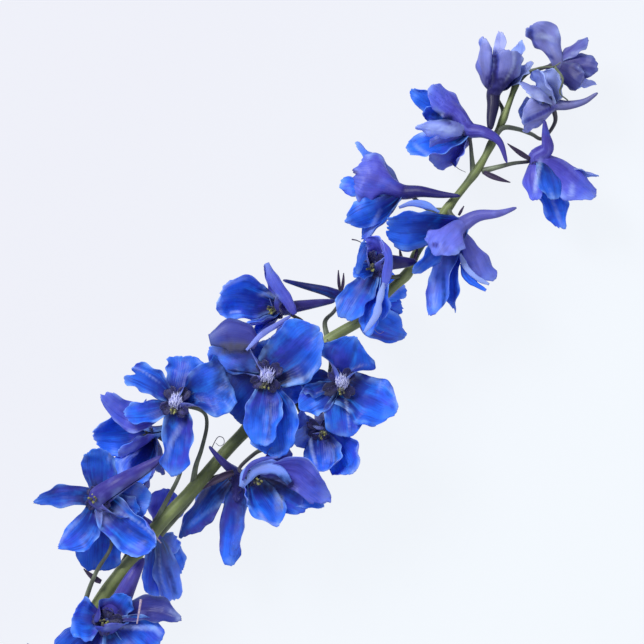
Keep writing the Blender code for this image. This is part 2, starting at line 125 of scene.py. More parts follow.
# Fresh sepal skin: a thin wet leaf of cells under a velvety cuticle. It gives a deep colour that
# glows where light comes through, a soft broad sheen, and fine veins that fan out from the claw.
sepalSkin = {
    # the inner face's run starts near black at the claw: painted shade in the throat of the floret
    "inner": {"along": [(0.0, "#080a26"), (0.2, "#0e1650"), (0.38, "#183a9c"), (0.64, "#2565e2"),
                        (1.0, "#3b7aec")],
              # edge, on both faces, is the colour of a painted highlight along the rim
              "patch": "#4143c8", "bright": "#2a86f2", "deep": "#132a8c", "edge": "#82b2f6",
              "keel": "#1c2592", "vein": "#1a3598", "through": "#2f74ff"},
    "outer": {"along": [(0.0, "#4a4190"), (0.24, "#544bb0"), (0.5, "#4a44a8"), (0.72, "#5a5acc"),
                        (1.0, "#5e74e0")],
              "patch": "#4664dc", "bright": "#7a7ee2", "deep": "#372f96", "edge": "#93aef2",
              "keel": "#3f3594", "vein": "#3d3796", "through": "#646eff"},
    # pale is the colour of a painted highlight, dark that of painted shade
    "violet": "#4c42ae", "pale": "#b9cdf6", "dark": "#1a1446", "sheenTint": "#a8b8ff",
    # spot in mm, its colour, the level of the mottle where it starts, and its largest share
    "spots": ((8.0, "patch", 0.5, 0.65), (5.5, "bright", 0.52, 0.5), (6.5, "deep", 0.54, 0.6),
              (2.2, "deep", 0.56, 0.3)), "spotSoft": 0.2,
    # each of these masks is two levels of a pattern, and the shares that show at those levels
    "streaks": (("bright", 0.5, 0.72, 0.0, 0.6), ("deep", 0.48, 0.3, 0.0, 0.6)),
    "streakStretch": (4.5, 1.3, 11.0),
    "keelAcross": (0.04, 0.34, 0.5, 0.0), "keelAlong": (0.45, 0.95, 1.0, 0.15),
    "keelPatchMm": 7.0, "keelPatches": (0.35, 0.6, 0.2, 1.0),
    "veinsAcross": 19, "veinStretch": (1.0, 0.45, 3.0), "veinLines": (0.55, 1.0, 0.0, 0.2),
    "veinPatchMm": 4.0, "veinPatches": (0.35, 0.6, 0.0, 1.0),
    "rim": (0.62, 1.0, 0.0, 0.75), "tip": (0.8, 1.0, 0.0, 0.6),
    "rimPatchMm": 5.0, "rimPatches": (0.38, 0.62, 0.05, 1.0),
    "brighter": 0.22, "greyer": -0.75,  # how far a tone and a cast of 1 go
    "roughness": 0.44, "ior": 1.42, "sheen": 0.22, "throughShare": 0.34,
    "bumpMm": 0.12, "cellMm": 1.1, "veinGroove": 0.35,
}


def makeSepalSkin(name, side):
    look = sepalSkin[side]
    material, tree = newMaterial(name)
    along, across, cast = readMap(tree, "petalMap")
    tone, dark, pale = readMap(tree, "petalTint")
    start = 0.0 if side == "inner" else -1.0  # the outer face runs on down the spur
    # the colour runs from claw to tip; on the inner face its near black start is painted shade in the
    # throat
    place = addNode(tree, "MapRange", {"Value": along, "From Min": start, "From Max": 1.0})
    colour = addNode(tree, "ValToRGB", {0: place[0]}, look["along"])[0]
    for spotMm, paint, low, most in sepalSkin["spots"]:
        spots = mottle(tree, spotMm, 2.5)
        colour = layColour(tree, colour, look[paint], (spots, low, low + sepalSkin["spotSoft"], 0.0, most))
    # pigment is also drawn out in long streaks from claw to tip
    own = addNode(tree, "CombineXYZ", {"X": across, "Y": along, "Z": tone})
    drawn = addNode(tree, "VectorMath",
                    {"operation": "MULTIPLY", 0: own[0], 1: sepalSkin["streakStretch"]})
    streaks = addNode(tree, "TexNoise",
                      {"Vector": drawn[0], "Scale": 1.0, "Detail": 4.0, "Roughness": 0.6})[0]
    for paint, *levels in sepalSkin["streaks"]:
        colour = layColour(tree, colour, look[paint], (streaks, *levels))
    # the rib shows as a soft dark band that fades towards the tip
    fromRib = addNode(tree, "Math", {"operation": "ABSOLUTE", 0: across})[0]
    patches = mottle(tree, sepalSkin["keelPatchMm"], 1.0)
    colour = layColour(tree, colour, look["keel"], (fromRib, *sepalSkin["keelAcross"]),
                       (along, *sepalSkin["keelAlong"]), (patches, *sepalSkin["keelPatches"]))
    # veins run along the petal and are waved a little, so they are drawn on its own coordinates
    squeeze = addNode(tree, "VectorMath", {"operation": "MULTIPLY", 0: own[0], 1: sepalSkin["veinStretch"]})
    bandsPerUnit = 20 / (2 * math.pi)  # of the wave texture at a scale of 1
    veins = addNode(tree, "TexWave",
                    {"bands_direction": "X", "Scale": sepalSkin["veinsAcross"] / 2 / bandsPerUnit,
                     "Distortion": 4.5, "Detail": 3.0, "Detail Scale": 1.2, "Vector": squeeze[0]})[1]
    patches = mottle(tree, sepalSkin["veinPatchMm"], 1.0)
    colour = layColour(tree, colour, look["vein"], (veins, *sepalSkin["veinLines"]),
                       (patches, *sepalSkin["veinPatches"]))
    # the sides and the tip are thinner, and paler in patches: a painted highlight along the rim
    rim = addNode(tree, "MapRange", softMask(fromRib, *sepalSkin["rim"]))
    tip = addNode(tree, "MapRange", softMask(along, *sepalSkin["tip"]))
    thinRimHighlight = addNode(tree, "Math", {"operation": "MAXIMUM", 0: rim[0], 1: tip[0]})[0]
    patches = mottle(tree, sepalSkin["rimPatchMm"], 1.5)
    patchy = addNode(tree, "MapRange", softMask(patches, *sepalSkin["rimPatches"]))
    thinRimHighlight = addNode(tree, "Math", {"operation": "MULTIPLY", 0: thinRimHighlight, 1: patchy[0]})[0]
    turned = addNode(tree, "Math", {"operation": "MULTIPLY", "use_clamp": True, 0: cast, 1: -1.0})[0]
    # pale lays on a painted highlight and dark painted shade, as the sepals and their streaks ask; turned
    # lays on the outer face's violet
    for share, paint in ((thinRimHighlight, look["edge"]), (turned, sepalSkin["violet"]), (pale, sepalSkin["pale"]),
                         (dark, sepalSkin["dark"])):
        colour = addNode(tree, "Mix", {"data_type": "RGBA", 0: share, 6: colour, 7: paint})[2]
    # tone makes the skin darker or brighter, partly at random and partly as painted light and shade
    brightness = addNode(tree, "Math",
                         {"operation": "MULTIPLY_ADD", 0: tone, 1: sepalSkin["brighter"], 2: 1.0})
    greyed = addNode(tree, "Math", {"operation": "MAXIMUM", 0: cast, 1: 0.0})
    strength = addNode(tree, "Math",
                       {"operation": "MULTIPLY_ADD", 0: greyed[0], 1: sepalSkin["greyer"], 2: 1.0})
    colour = addNode(tree, "HueSaturation",
                     {"Saturation": strength[0], "Value": brightness[0], "Color": colour})[0]
    grooves = addNode(tree, "Math", {"operation": "MULTIPLY", 0: veins, 1: sepalSkin["veinGroove"]})
    cells = mottle(tree, sepalSkin["cellMm"], 2.5)
    relief = addNode(tree, "Math", {"operation": "SUBTRACT", 0: cells, 1: grooves[0]})
    bump = addNode(tree, "Bump",
                   {"Strength": 0.5, "Distance": sepalSkin["bumpMm"] * mm, "Height": relief[0]})[0]
    skin = addNode(tree, "BsdfPrincipled",
                   {"Base Color": colour, "Normal": bump, "Roughness": sepalSkin["roughness"],
                    "IOR": sepalSkin["ior"], "Specular IOR Level": 0.4, "Sheen Weight": sepalSkin["sheen"],
                    "Sheen Roughness": 0.4, "Sheen Tint": sepalSkin["sheenTint"]})
    through = addNode(tree, "Mix", {"data_type": "RGBA", 0: 0.4, 6: colour, 7: look["through"]})
    glow = addNode(tree, "BsdfTranslucent", {"Color": through[2], "Normal": bump})
    both = addNode(tree, "MixShader", {0: sepalSkin["throughShare"], 1: skin[0], 2: glow[0]})
    addNode(tree, "OutputMaterial", {"Surface": both[0]})
    return material


# Plain plant tissue for the small parts: stem, stalks, bracts, hairs, anthers. Waxy and slightly
# rough, mottled at the grain size of each, with long ribs where it is a stem.
tissues = {
    "stemSkin": {"colours": ["#505c3a", "#6f7d48", "#939f68"], "grainMm": 9.0, "roughness": 0.5,
                 "ribs": 5, "tint": "#3b2f3c"},
    "stalkSkin": {"colours": ["#3f443a", "#5c6650", "#808b72"], "grainMm": 5.0, "roughness": 0.5,
                  "ribs": 3, "tint": "#2a2038"},
    "bractSkin": {"colours": ["#140d26", "#20153a", "#31244c"], "grainMm": 1.5, "roughness": 0.55,
                  "ribs": 4, "tint": "#5b4a63"},
    "beePale": {"colours": ["#7c80c8", "#a9adea", "#cdd0f6"], "grainMm": 0.8, "roughness": 0.6,
                "ribs": 0, "tint": "#2b2f86"},
    "beeDark": {"colours": ["#121338", "#1e1f5c", "#35337e"], "grainMm": 1.1, "roughness": 0.55,
                "ribs": 3, "tint": "#0d0b20"},
    "beardHair": {"colours": ["#a3a6e2", "#c6caf4", "#e6e9fe"], "grainMm": 0.8, "roughness": 0.6,
                  "ribs": 0, "tint": "#3a3f9a"},
    "driedThread": {"colours": ["#77688c", "#948298", "#b3a2a6"], "grainMm": 1.0, "roughness": 0.7,
                    "ribs": 0, "tint": "#5b4a63"},
    "antherSkin": {"colours": ["#4a4a2c", "#7f8348", "#a9ab62"], "grainMm": 0.8, "roughness": 0.75,
                   "ribs": 0, "tint": "#262338"},
}


def makeTissue(name):
    look = tissues[name]
    darkest, middle, palest = look["colours"]
    material, tree = newMaterial(name)
    across = readMap(tree, "petalMap")[1]
    dark, pale = readMap(tree, "petalTint")[1:3]
    grain = mottle(tree, look["grainMm"], 3.0)
    colour = addNode(tree, "ValToRGB", {0: grain}, [(0.28, darkest), (0.52, middle), (0.78, palest)])[0]
    height = grain
    if look["ribs"]:
        turn = addNode(tree, "Math", {"operation": "MULTIPLY", 0: across, 1: look["ribs"] * math.pi})
        wave = addNode(tree, "Math", {"operation": "SINE", 0: turn[0]})
        ribShare = addNode(tree, "MapRange", softMask(wave[0], -0.2, 1.0, 0.0, 0.4))[0]
        colour = addNode(tree, "Mix", {"data_type": "RGBA", 0: ribShare, 6: colour, 7: darkest})[2]
        height = addNode(tree, "Math", {"operation": "SUBTRACT", 0: grain, 1: ribShare})[0]
    colour = addNode(tree, "Mix", {"data_type": "RGBA", 0: dark, 6: colour, 7: look["tint"]})[2]
    colour = addNode(tree, "Mix", {"data_type": "RGBA", 0: pale, 6: colour, 7: palest})[2]
    bump = addNode(tree, "Bump", {"Strength": 0.5, "Distance": 0.15 * mm, "Height": height})
    skin = addNode(tree, "BsdfPrincipled",
                   {"Base Color": colour, "Normal": bump[0], "Roughness": look["roughness"], "IOR": 1.42,
                    "Specular IOR Level": 0.35, "Sheen Weight": 0.15, "Sheen Roughness": 0.5})
    addNode(tree, "OutputMaterial", {"Surface": skin[0]})
    return material


skins = {"inner": makeSepalSkin("sepalSkinInner", "inner"),
         "outer": makeSepalSkin("sepalSkinOuter", "outer")}
for tissue in tissues:
    skins[tissue] = makeTissue(tissue)
print("materials:", len(skins))


def newShape(*skinNames):
    return {"points": [], "faces": [], "skin": [], "map": [], "tint": [], "skinNames": skinNames}


def addPoint(shape, point, along, across, tint, cast=0.0):
    shape["points"].append(point)
    shape["map"].append((along, across, cast))
    shape["tint"].append(tint)


def finishPiece(shape, name, stoodFor=()):
    mesh = bpy.data.meshes.new(name)
    mesh.from_pydata([planeToFrame @ point for point in shape["points"]], [], shape["faces"])
    for skinName in shape["skinNames"]:
        mesh.materials.append(skins[skinName])
    mesh.polygons.foreach_set("material_index", shape["skin"])
    mesh.polygons.foreach_set("use_smooth", [True] * len(shape["faces"]))
    for attribute, key in (("petalMap", "map"), ("petalTint", "tint")):
        layer = mesh.attributes.new(attribute, "FLOAT_VECTOR", "POINT")
        layer.data.foreach_set("vector", [c for row in shape[key] for c in row])
    mesh.update()
    piece = bpy.data.objects.new(name, mesh)
    bpy.context.scene.collection.objects.link(piece)
    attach(piece, "root")
    if stoodFor:
        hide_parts(*stoodFor)


def smoothLine(points, steps):
    line = [Vector(p) for p in points]
    line = [line[0] * 2 - line[1]] + line + [line[-1] * 2 - line[-2]]
    curve = []
    for i in range(1, len(line) - 2):
        a, b, c, d = line[i - 1:i + 3]
        for k in range(steps):
            t = k / steps
            curve.append(0.5 * (2 * b + (c - a) * t + (2 * a - 5 * b + 4 * c - d) * t ** 2
                                + (3 * b - a - 3 * c + d) * t ** 3))
    curve.append(line[-2])
    return curve


# A closed round tube along a line; tint(share) may change its colour along the way
def addTube(shape, line, radii, sides, skin, tint=(0, 0, 0), ribs=0.0):
    first = len(shape["points"])
    along = (line[1] - line[0]).normalized()
    across = along.orthogonal().normalized()
    last = len(line) - 1
    for i, point in enumerate(line):
        along = (line[min(i + 1, last)] - line[max(i - 1, 0)]).normalized()
        across = (across - along * across.dot(along)).normalized()
        other = along.cross(across)
        share = i / last
        here = tint(share) if callable(tint) else tint
        for k in range(sides):
            turn = 2 * math.pi * k / sides
            radius = radii[i] * (1 + ribs * math.cos(turn * sides / 2))
            way = across * math.cos(turn) + other * math.sin(turn)
            addPoint(shape, point + way * radius, share, 2 * k / sides - 1, here)
    for i in range(last):
        for k in range(sides):
            a = first + i * sides + k
            b = first + i * sides + (k + 1) % sides
            shape["faces"].append((a, b, b + sides, a + sides))
            shape["skin"].append(skin)
    for i, end in ((0, line[0]), (last, line[-1])):
        middle = len(shape["points"])
        addPoint(shape, Vector(end), i / last, 0.0, tint(i / last) if callable(tint) else tint)
        for k in range(sides):
            a = first + i * sides + k
            b = first + i * sides + (k + 1) % sides
            shape["faces"].append((b, a, middle) if i == 0 else (a, b, middle))
            shape["skin"].append(skin)


# A thin closed leaf: rows and columns of (point, way of the inner face, along, across), with
# its inner and outer faces and a narrow edge between them; tint may be worked out from along
def addSheet(shape, grid, thickness, skin, tint, cast=0.0):
    first = len(shape["points"])
    rows, cols = len(grid) - 1, len(grid[0]) - 1
    for side in (1, -1):
        for row in grid:
            for point, way, along, across in row:
                half = thickness(along, across) / 2
                here = tint(along) if callable(tint) else tint
                addPoint(shape, point + way * side * half, along, across, here, cast)
    width = cols + 1
    count = (rows + 1) * width
    for i in range(rows):
        for j in range(cols):
            a = first + i * width + j
            inner = (a, a + width, a + width + 1, a + 1)
            shape["faces"].append(inner)
            shape["faces"].append(tuple(v + count for v in reversed(inner)))
            shape["skin"] += [skin[0], skin[1]]
    loop = [i * width for i in range(rows)] + [rows * width + j for j in range(cols)]
    loop += [i * width + cols for i in range(rows, 0, -1)] + list(range(cols, 0, -1))
    for p, q in zip(loop, loop[1:] + loop[:1]):
        shape["faces"].append((first + q, first + p, first + p + count, first + q + count))
        shape["skin"].append(skin[0])


rollStart = 0.6  # of the way from the rib to the edge


# Across a petal: an arc of angle fold from rib to edge, whose outer part rolls on by roll
def crossSection(t, fold, roll):
    size = abs(t)
    fold = fold if abs(fold) > 1e-4 else 1e-4
    arc = fold * min(size, rollStart)
    x, y = math.sin(arc) / fold, (1 - math.cos(arc)) / fold
    if size > rollStart:
        bend = fold + roll / (1 - rollStart)
        bend = bend if abs(bend) > 1e-4 else 1e-4
        end = arc + bend * (size - rollStart)
        x += (math.sin(end) - math.sin(arc)) / bend
        y += (math.cos(arc) - math.cos(end)) / bend
        arc = end
    return math.copysign(x, t), y, math.copysign(arc, t)


# One sepal: where its tip lies, its width, how far its rib bends and its blade folds, in degrees,
# and how much it turns its face to the lens. The rest says how its outline and its colours differ:
# its dark is painted shade, its pale a painted highlight, and its tone makes it darker or brighter,
# partly at random and partly as painted light and shade.
def sepal(tip, width, bend=22, fold=30, show=0, **more):
    petal = {"tip": tip, "width": width, "bend": bend, "fold": fold, "show": show,
             "claw": 0.3, "widest": 0.58, "tipWidth": 0.66, "round": 0.2, "notch": 0.0, "jag": 0.035,
             "ruffle": 0.9, "crease": 0.4, "bow": 0.0, "tone": None, "dark": 0.0, "pale": 0.0,
             "cast": 0.0, "sides": (0, 1)}
    petal.update(more)
    return petal


# A folded-back edge: a narrow strip of its own that lies along a path in space; its dark is painted
# shade, its pale a painted highlight, and its tone makes it darker or brighter
def turnedEdge(path, width, side=0, tone=0.0, dark=0.0, pale=0.0, cast=0.0):
    return {"path": path, "width": width, "side": side, "tint": (tone, dark, pale), "cast": cast}


# A painted streak along a crease: a pale one is a painted highlight, a dark one painted shade; its path
# gives x and y on the petals below it.
# A cast above zero greys the colour, one below zero turns it violet.
def streak(path, width, tone=None, dark=0.0, pale=0.0, cast=0.0):
    return {"path": path, "width": width, "tone": tone, "dark": dark, "pale": pale, "cast": cast}


# What a floret has unless it says otherwise
plainFloret = {"spurRadius": 2.1, "spurBends": None, "spurBack": 0.5, "spurTaper": 1.0, "spurDark": 0.1,
               "bee": "hidden", "stalkDark": 0.85, "marks": ()}

# The florets from the lowest to the highest. Each has its middle, the way it faces, its spur, its
# stalk from stem to floret, its sepals, of which the first is the spurred one, and its marks.
# beeWay is the way that a pale beard is combed.
# the dark and pale of the sepals, turned edges and streaks below are painted shade and painted highlights
florets = {}
florets["01"] = {
    "centre": (-84, -124, 9), "faces": (0.35, -0.35, 0.85),
    "spurTip": (-98, -107, 5), "bee": "dark",
    "stalk": ((-98, -132, -9), (-91, -131, -2), (-87, -124.5, 2)),
    "sepals": [
        sepal((-97, -114, 12), 13),
        sepal((-72, -109, 14), 14),
        sepal((-101, -130, 13), 13),
        sepal((-68, -132, 11), 14),
        sepal((-88, -144, 12), 14),
    ],
}
florets["02"] = {
    "centre": (-71.5, -99.5, 9), "faces": (-0.1, 0.2, 0.95),
    "spurTip": (-59.3, -78.5, 4), "spurRadius": 4.2, "spurTaper": 0.65, "bee": "dark",
    "stalk": ((-84, -110, -4), (-78, -106, -1), (-71.5, -102, 2.5)),
    "sepals": [
        sepal((-64.3, -90.3, 12), 8, fold=-20, tone=-0.2),
        sepal((-82.8, -98.3, 14), 14, tipWidth=0.8, tone=0.6),
        sepal((-46.7, -98.5, 14), 9.6, 10, 60, bow=3.6, sides=(1, 1), dark=0.6, tone=-0.3, tipWidth=0.45),
        sepal((-57.5, -112, 13), 23, tipWidth=0.9, round=0.15, tone=0.3),
        sepal((-87.6, -114.5, 10), 14, dark=0.2),
        sepal((-72, -114, 8), 12),
    ],
    "marks": [
        streak(((-51, -95.5), (-47.8, -97.2), (-47.2, -99.6)), 2, pale=0.6),
        streak(((-77, -98), (-71, -94.5), (-65.5, -97.5)), 4, cast=-0.8, dark=0.35),
        streak(((-70, -101), (-61, -101.4), (-55, -102), (-53.3, -104.5)), 1.6, pale=0.5),
        streak(((-81, -92), (-85.5, -94.5), (-86.5, -99)), 1.4, pale=0.45),
    ],
}
florets["03"] = {
    "centre": (-55, -70.5, -10), "faces": (0.1, -0.3, -0.95),
    "spurTip": (-61.5, -64, -6),
    "stalk": ((-67, -82, -2), (-64, -76, -6), (-59, -71.5, -8.5)),
    "sepals": [
        sepal((-51, -56.5, -14), 12, sides=(1, 1), tone=0.3),
        sepal((-48.6, -77, -14), 7.2, sides=(0, 0), jag=0.06, tipWidth=0.9, tone=0.95, pale=0.14),
        sepal((-49.5, -93.5, -15), 8, sides=(0, 0), crease=0.6, tipWidth=0.8, tone=0.95, pale=0.14),
        sepal((-56, -91.5, -19), 8, sides=(0, 0), tipWidth=0.5, tone=1.0, pale=0.06),
        sepal((-48, -84, -25), 8, 8, 10, sides=(0, 0)),
    ],
    "marks": [
        streak(((-52, -82), (-50, -87), (-49, -92)), 1.4, dark=0.6),
        streak(((-54.5, -78), (-54, -85), (-52, -91)), 0.8, pale=0.5),
    ],
}
florets["04"] = {
    "centre": (-74, -58.5, 10), "faces": (-0.3, 0, 0.95),
    "spurTip": (-52.5, -44.5, 13), "spurRadius": 3.7, "spurBack": -0.35, "spurTaper": 0.65,
    "bee": "dark",
    "stalk": ((-81.2, -106, -2), (-78.8, -93, 1), (-75, -83, 5.5), (-70, -74, 6.5), (-72, -64.5, 6)),
    "sepals": [
        sepal((-56.6, -59.3, 10), 12, 10, tipWidth=0.8),
        sepal((-73.9, -41.5, 13), 11.3, tipWidth=0.95, round=0.1, widest=0.7, claw=0.5),
        sepal((-95.7, -59.6, 12), 6.7, 10, bow=-1.6, tipWidth=0.35, claw=0.85, dark=0.25, sides=(0, 0)),
        sepal((-88, -75.3, 12), 9.6, bow=3.3, tone=0.4, tipWidth=0.3, round=0.3, claw=0.5),
        sepal((-74.7, -83.6, -1), 17, 5, tipWidth=0.7, tone=-0.3),
        sepal((-53.8, -74.6, 16), 17, 20, 55, bow=-1.8, tipWidth=0.35, claw=0.45, widest=0.45, tone=0.8,
              crease=1.2),
        sepal((-60, -63, 12), 8, sides=(0, 0), dark=0.2),
    ],
    "marks": [
        streak(((-90, -56.3), (-84, -55), (-78, -55)), 1.8, cast=-0.6),
        streak(((-71, -65), (-65, -60), (-58, -51)), 3, pale=0.22, cast=-0.3),
        streak(((-66, -56), (-61, -51), (-55, -46)), 2.2, dark=0.35, cast=-0.5),
        streak(((-72, -62), (-74, -64), (-71, -67)), 2.6, pale=0.3, cast=-0.6),
        streak(((-70, -62.5), (-63, -65), (-56.5, -70), (-53.5, -73.5)), 1.2, pale=0.5),
        streak(((-67, -66), (-61, -70.5), (-57, -75)), 2.2, dark=0.5),
        streak(((-71, -46.5), (-70, -42.5), (-72, -41)), 1.2, pale=0.35),
        streak(((-80, -65), (-85.5, -71), (-87.5, -74)), 1.2, pale=0.35),
    ],
}
florets["05"] = {
    "centre": (-28.5, -50.5, 2), "faces": (-0.2, -0.85, -0.45),
    "spurTip": (-37.5, -41.3, 8), "spurRadius": 1.7, "spurDark": 0.6,
    "spurBends": ((-34.6, -44.8, 8), (-31.4, -48, 6)),
    "stalk": ((-54, -71, -1), (-45, -61, -1), (-39, -53.5, -1), (-33.5, -51, 1)),
    "sepals": [
        sepal((-28.8, -60, 3), 3, 10, dark=0.75),
        sepal((-32.4, -81, -6), 9.6, 15, 40, -0.6, bow=-0.7, tipWidth=0.75, claw=0.45, widest=0.72,
              round=0.4, jag=0.015, sides=(0, 0), tone=0.5),
        sepal((-49.5, -71.2, -9), 13.8, 15, 40, -0.6, bow=-1.6, tipWidth=0.45, sides=(0, 0), dark=0.3),
        sepal((-26, -60, -14), 8),
        sepal((-39, -65, -25), 12, 8, 10),
    ],
    "marks": [
        streak(((-31.5, -61), (-34.2, -69), (-35.2, -77)), 3.4, cast=-0.8, dark=0.45),
        streak(((-28, -61), (-27.8, -68), (-29.6, -77)), 2.6, tone=0.9, pale=0.1),
        streak(((-28.8, -54), (-29.3, -58.5), (-30.3, -62.5)), 4, cast=-0.6, dark=0.6),
        streak(((-33, -62), (-40, -68), (-47, -72)), 2.6, cast=-0.9, dark=0.2),
        streak(((-33, -60), (-39, -64), (-45, -68.5)), 1.2, pale=0.2),
    ],
}
florets["06"] = {
    "centre": (-56, -37, -3), "faces": (-0.75, -0.1, 0.35),
    "spurTip": (-46, -33, -12),
    "stalk": ((-58, -71, 0), (-52, -60, 1), (-47, -49, 0), (-50, -42, -2)),
    "sepals": [
        sepal((-76.6, -38.3, -3), 12.6, 22, 30, 0.5, sides=(0, 0), tone=0.3),
        sepal((-68, -54, -1), 15, 22, 30, 0.5, sides=(0, 0), tone=0.1),
        sepal((-68, -43, 5), 10),
        sepal((-62, -31, -25), 12, 8, 10),
        sepal((-54, -51, -8), 12, dark=0.3),
        sepal((-60, -55, 2), 10, sides=(1, 1), dark=0.3),
    ],
    "marks": [
        streak(((-61, -40), (-66, -45), (-67.5, -52)), 1.8, pale=0.35),
        streak(((-72, -33.5), (-76, -36), (-76, -40)), 1.2, pale=0.35),
    ],
}
florets["07"] = {
    "centre": (-23.5, -50.5, 10), "faces": (0.6, -0.45, 0.6),
    "spurTip": (-17, -48, -8), "bee": "dark",
    "stalk": ((-15, -33, 0), (-17, -41, 2), (-22, -43.5, 4), (-27.5, -48.8, 8)),
    "sepals": [
        sepal((-9.6, -44.2, 9), 13, 20, sides=(1, 1), dark=0.4, rollLeft=0, rollRight=0),
        sepal((-24, -61.9, 13), 9, tone=0.3),
        sepal((-14, -67.3, 13), 12.6, tipWidth=0.4, tone=0.6),
        sepal((1.5, -61.5, 7), 9, tipWidth=0.4, tone=0.3),
        sepal((-5, -62.5, 6), 12, tone=0.2),
        sepal((1.6, -60.4, 16), 14.2, 22, 30, -0.5, sides=(1, 1), claw=0.2, bow=8.4, tone=0.1),
    ],
    "marks": [
        turnedEdge(((-26.8, -54.8, 13), (-24, -50, 14.5), (-19, -47.6, 15.5), (-14.5, -49, 15.5),
                    (-10.6, -53.4, 14.5)), 6, tone=0.8, pale=0.4),
        turnedEdge(((-26.3, -52.5, 14.5), (-24.3, -48, 16), (-20, -45.5, 17), (-14.5, -44.8, 17)), 1.6, 1,
                   dark=0.3),
        streak(((-15, -57), (-14.6, -60), (-14.3, -63.5)), 2.4, dark=0.3, cast=0.25),
        streak(((-13.6, -57), (-13.4, -60), (-13.2, -62.5)), 0.8, dark=0.6, cast=0.5),
        streak(((-21, -62.5), (-18, -66.5), (-13, -67.5)), 1.2, pale=0.45),
        streak(((-20.5, -56.5), (-15, -53.4), (-8, -55.5)), 5, dark=0.9),
    ],
}
florets["08"] = {
    "centre": (-48, -27, 13), "faces": (-0.25, 0.1, 0.95),
    "spurTip": (-42, -24, -5), "bee": "pale", "beeWay": (0.1, 1),
    "stalkDark": 0.2,
    "stalk": ((-43, -54, 0), (-42, -48, 3), (-40, -42, 4.5), (-38.3, -34, 5), (-40, -29.5, 7)),
    "sepals": [
        sepal((-31, -18.3, 16), 17, 5, tipWidth=1.0, round=0.08, claw=0.5, tone=-0.2),
        sepal((-43.8, -11.1, 7), 15, tipWidth=0.95, round=0.12, dark=0.2),
        sepal((-64.4, -16.8, 17), 8.6, 10, bow=-1.7, dark=0.12, notch=0.12, tipWidth=0.85, round=0.1,
              tone=0.4),
        sepal((-66, -31, 15), 7.6, 10, bow=0.6, tone=0.3),
        sepal((-73.5, -24, 11), 9.6, 10, bow=6.2, tipWidth=0.85, sides=(1, 1), tone=0.1, dark=0.15),
        sepal((-49.4, -51.2, 15), 11.6, 10, 50, bow=1.5, claw=0.7, widest=0.4, tone=0.2),
    ],
    "marks": [
        streak(((-43.6, -32), (-44.2, -39), (-47, -48)), 2, cast=-0.6),
        streak(((-46.5, -34), (-50, -40), (-52.3, -47)), 1.8, pale=0.35),
        streak(((-32, -12), (-32.5, -17), (-33, -23)), 6, dark=0.75),
        streak(((-42, -24), (-37, -25.5), (-33, -26)), 2, tone=0.6),
        streak(((-54, -20), (-60, -16), (-64, -15)), 0.9, pale=0.4),
    ],
}
florets["09"] = {
    "centre": (-18, -18, 14), "faces": (-0.1, -0.1, 0.98),
    "spurTip": (-14, -2, -2), "bee": "pale", "beeWay": (0.3, 1),
    "stalk": ((-24, -35, 0), (-22.5, -29, 5), (-20, -22, 8)),
    "sepals": [
        sepal((-37.5, -7.5, 15), 13, 25, 40, bow=-0.5, pale=0.12, tone=0.5),
        sepal((-0.4, -2.6, 18), 19.5, tipWidth=0.45, widest=0.6, round=0.3, claw=0.6),
        sepal((-31, -30.6, 10), 20, tipWidth=0.95, dark=0.3),
        sepal((-14, -45, 15.5), 16, 12),
        sepal((-20.5, -41, 20), 12, 12, tone=0.3),
        sepal((-4, -21.5, 5), 12, -5),
        sepal((-19.5, -5, 9), 9, dark=0.5),
    ],
    "marks": [
        turnedEdge(((-21.5, -7.5, 16.5), (-25, -5.5, 17), (-31, -4.6, 17.5), (-37.3, -6, 17)), 11.5, 1,
                   tone=-0.4, dark=0.48),
        streak(((-1, -14), (-5, -18), (-10, -20.3)), 1.2, pale=0.35),
        streak(((-2.5, 0.5), (0.2, -2.5), (-0.5, -8)), 2.2, pale=0.2),
        streak(((-17.5, -24), (-17, -32), (-17.5, -40)), 1.1, dark=0.55),
        streak(((-23, -17), (-29, -18.5), (-36, -20)), 7, dark=0.6),
        streak(((-34, -9), (-29, -8.4), (-23.5, -9)), 3.4, cast=0.7, dark=0.8),
    ],
}
florets["10"] = {
    "centre": (-0.5, -35, 8), "faces": (0, -0.5, 0.85),
    "spurTip": (-2, -24, -8), "bee": "dark",
    "stalk": ((-11, -20, 0), (-8, -28, 1), (-5, -34, 3)),
    "sepals": [
        sepal((-9, -33, 6), 8, pale=0.25),
        sepal((9, -30, 3), 8),
        sepal((-9.5, -40, 9), 8, pale=0.2),
        sepal((0.5, -50.5, 13), 13, tipWidth=0.5, tone=0.4),
        sepal((10.5, -50.2, 12), 14, bow=1.2, tipWidth=0.75, tone=0.5),
    ],
    "marks": [
        streak(((-4, -37.5), (-3.5, -42), (-1.8, -48)), 1.2, pale=0.7),
        streak(((11.5, -42), (12.4, -47), (9.5, -51)), 1.3, pale=0.5),
        streak(((3, -39), (4.5, -44), (4.8, -49)), 1.2, dark=0.5),
    ],
}
florets["11"] = {
    "centre": (6, -20.5, 14), "faces": (0.2, 0.1, 0.97),
    "spurTip": (8, -12, -2), "bee": "pale", "beeWay": (0.2, 1),
    "stalk": ((2, -6, 0), (3, -14, 3), (1.5, -23, 9)),
    "sepals": [
        sepal((11.3, -4, 16), 17.5, bow=1, tipWidth=0.3, widest=0.42, claw=0.5, round=0.35),
        sepal((24.6, -29.6, 16), 16, bow=-0.6, claw=0.8, tipWidth=0.55, widest=0.5, tone=0.6, ruffle=1.3),
        sepal((8, -38, 16), 12),
        sepal((-8, -20, 12), 9, 5, dark=0.35),
        sepal((-7.6, -29.3, 14), 10, 10),
    ],
    "marks": [
        streak(((7.8, -25), (8.5, -30), (9, -35.5)), 0.8, pale=0.5),
        streak(((22, -21.5), (25, -25), (25.5, -30)), 1.4, pale=0.35),
        streak(((9.5, -13), (10.8, -9), (11.5, -6)), 1.2, dark=0.5),
    ],
}
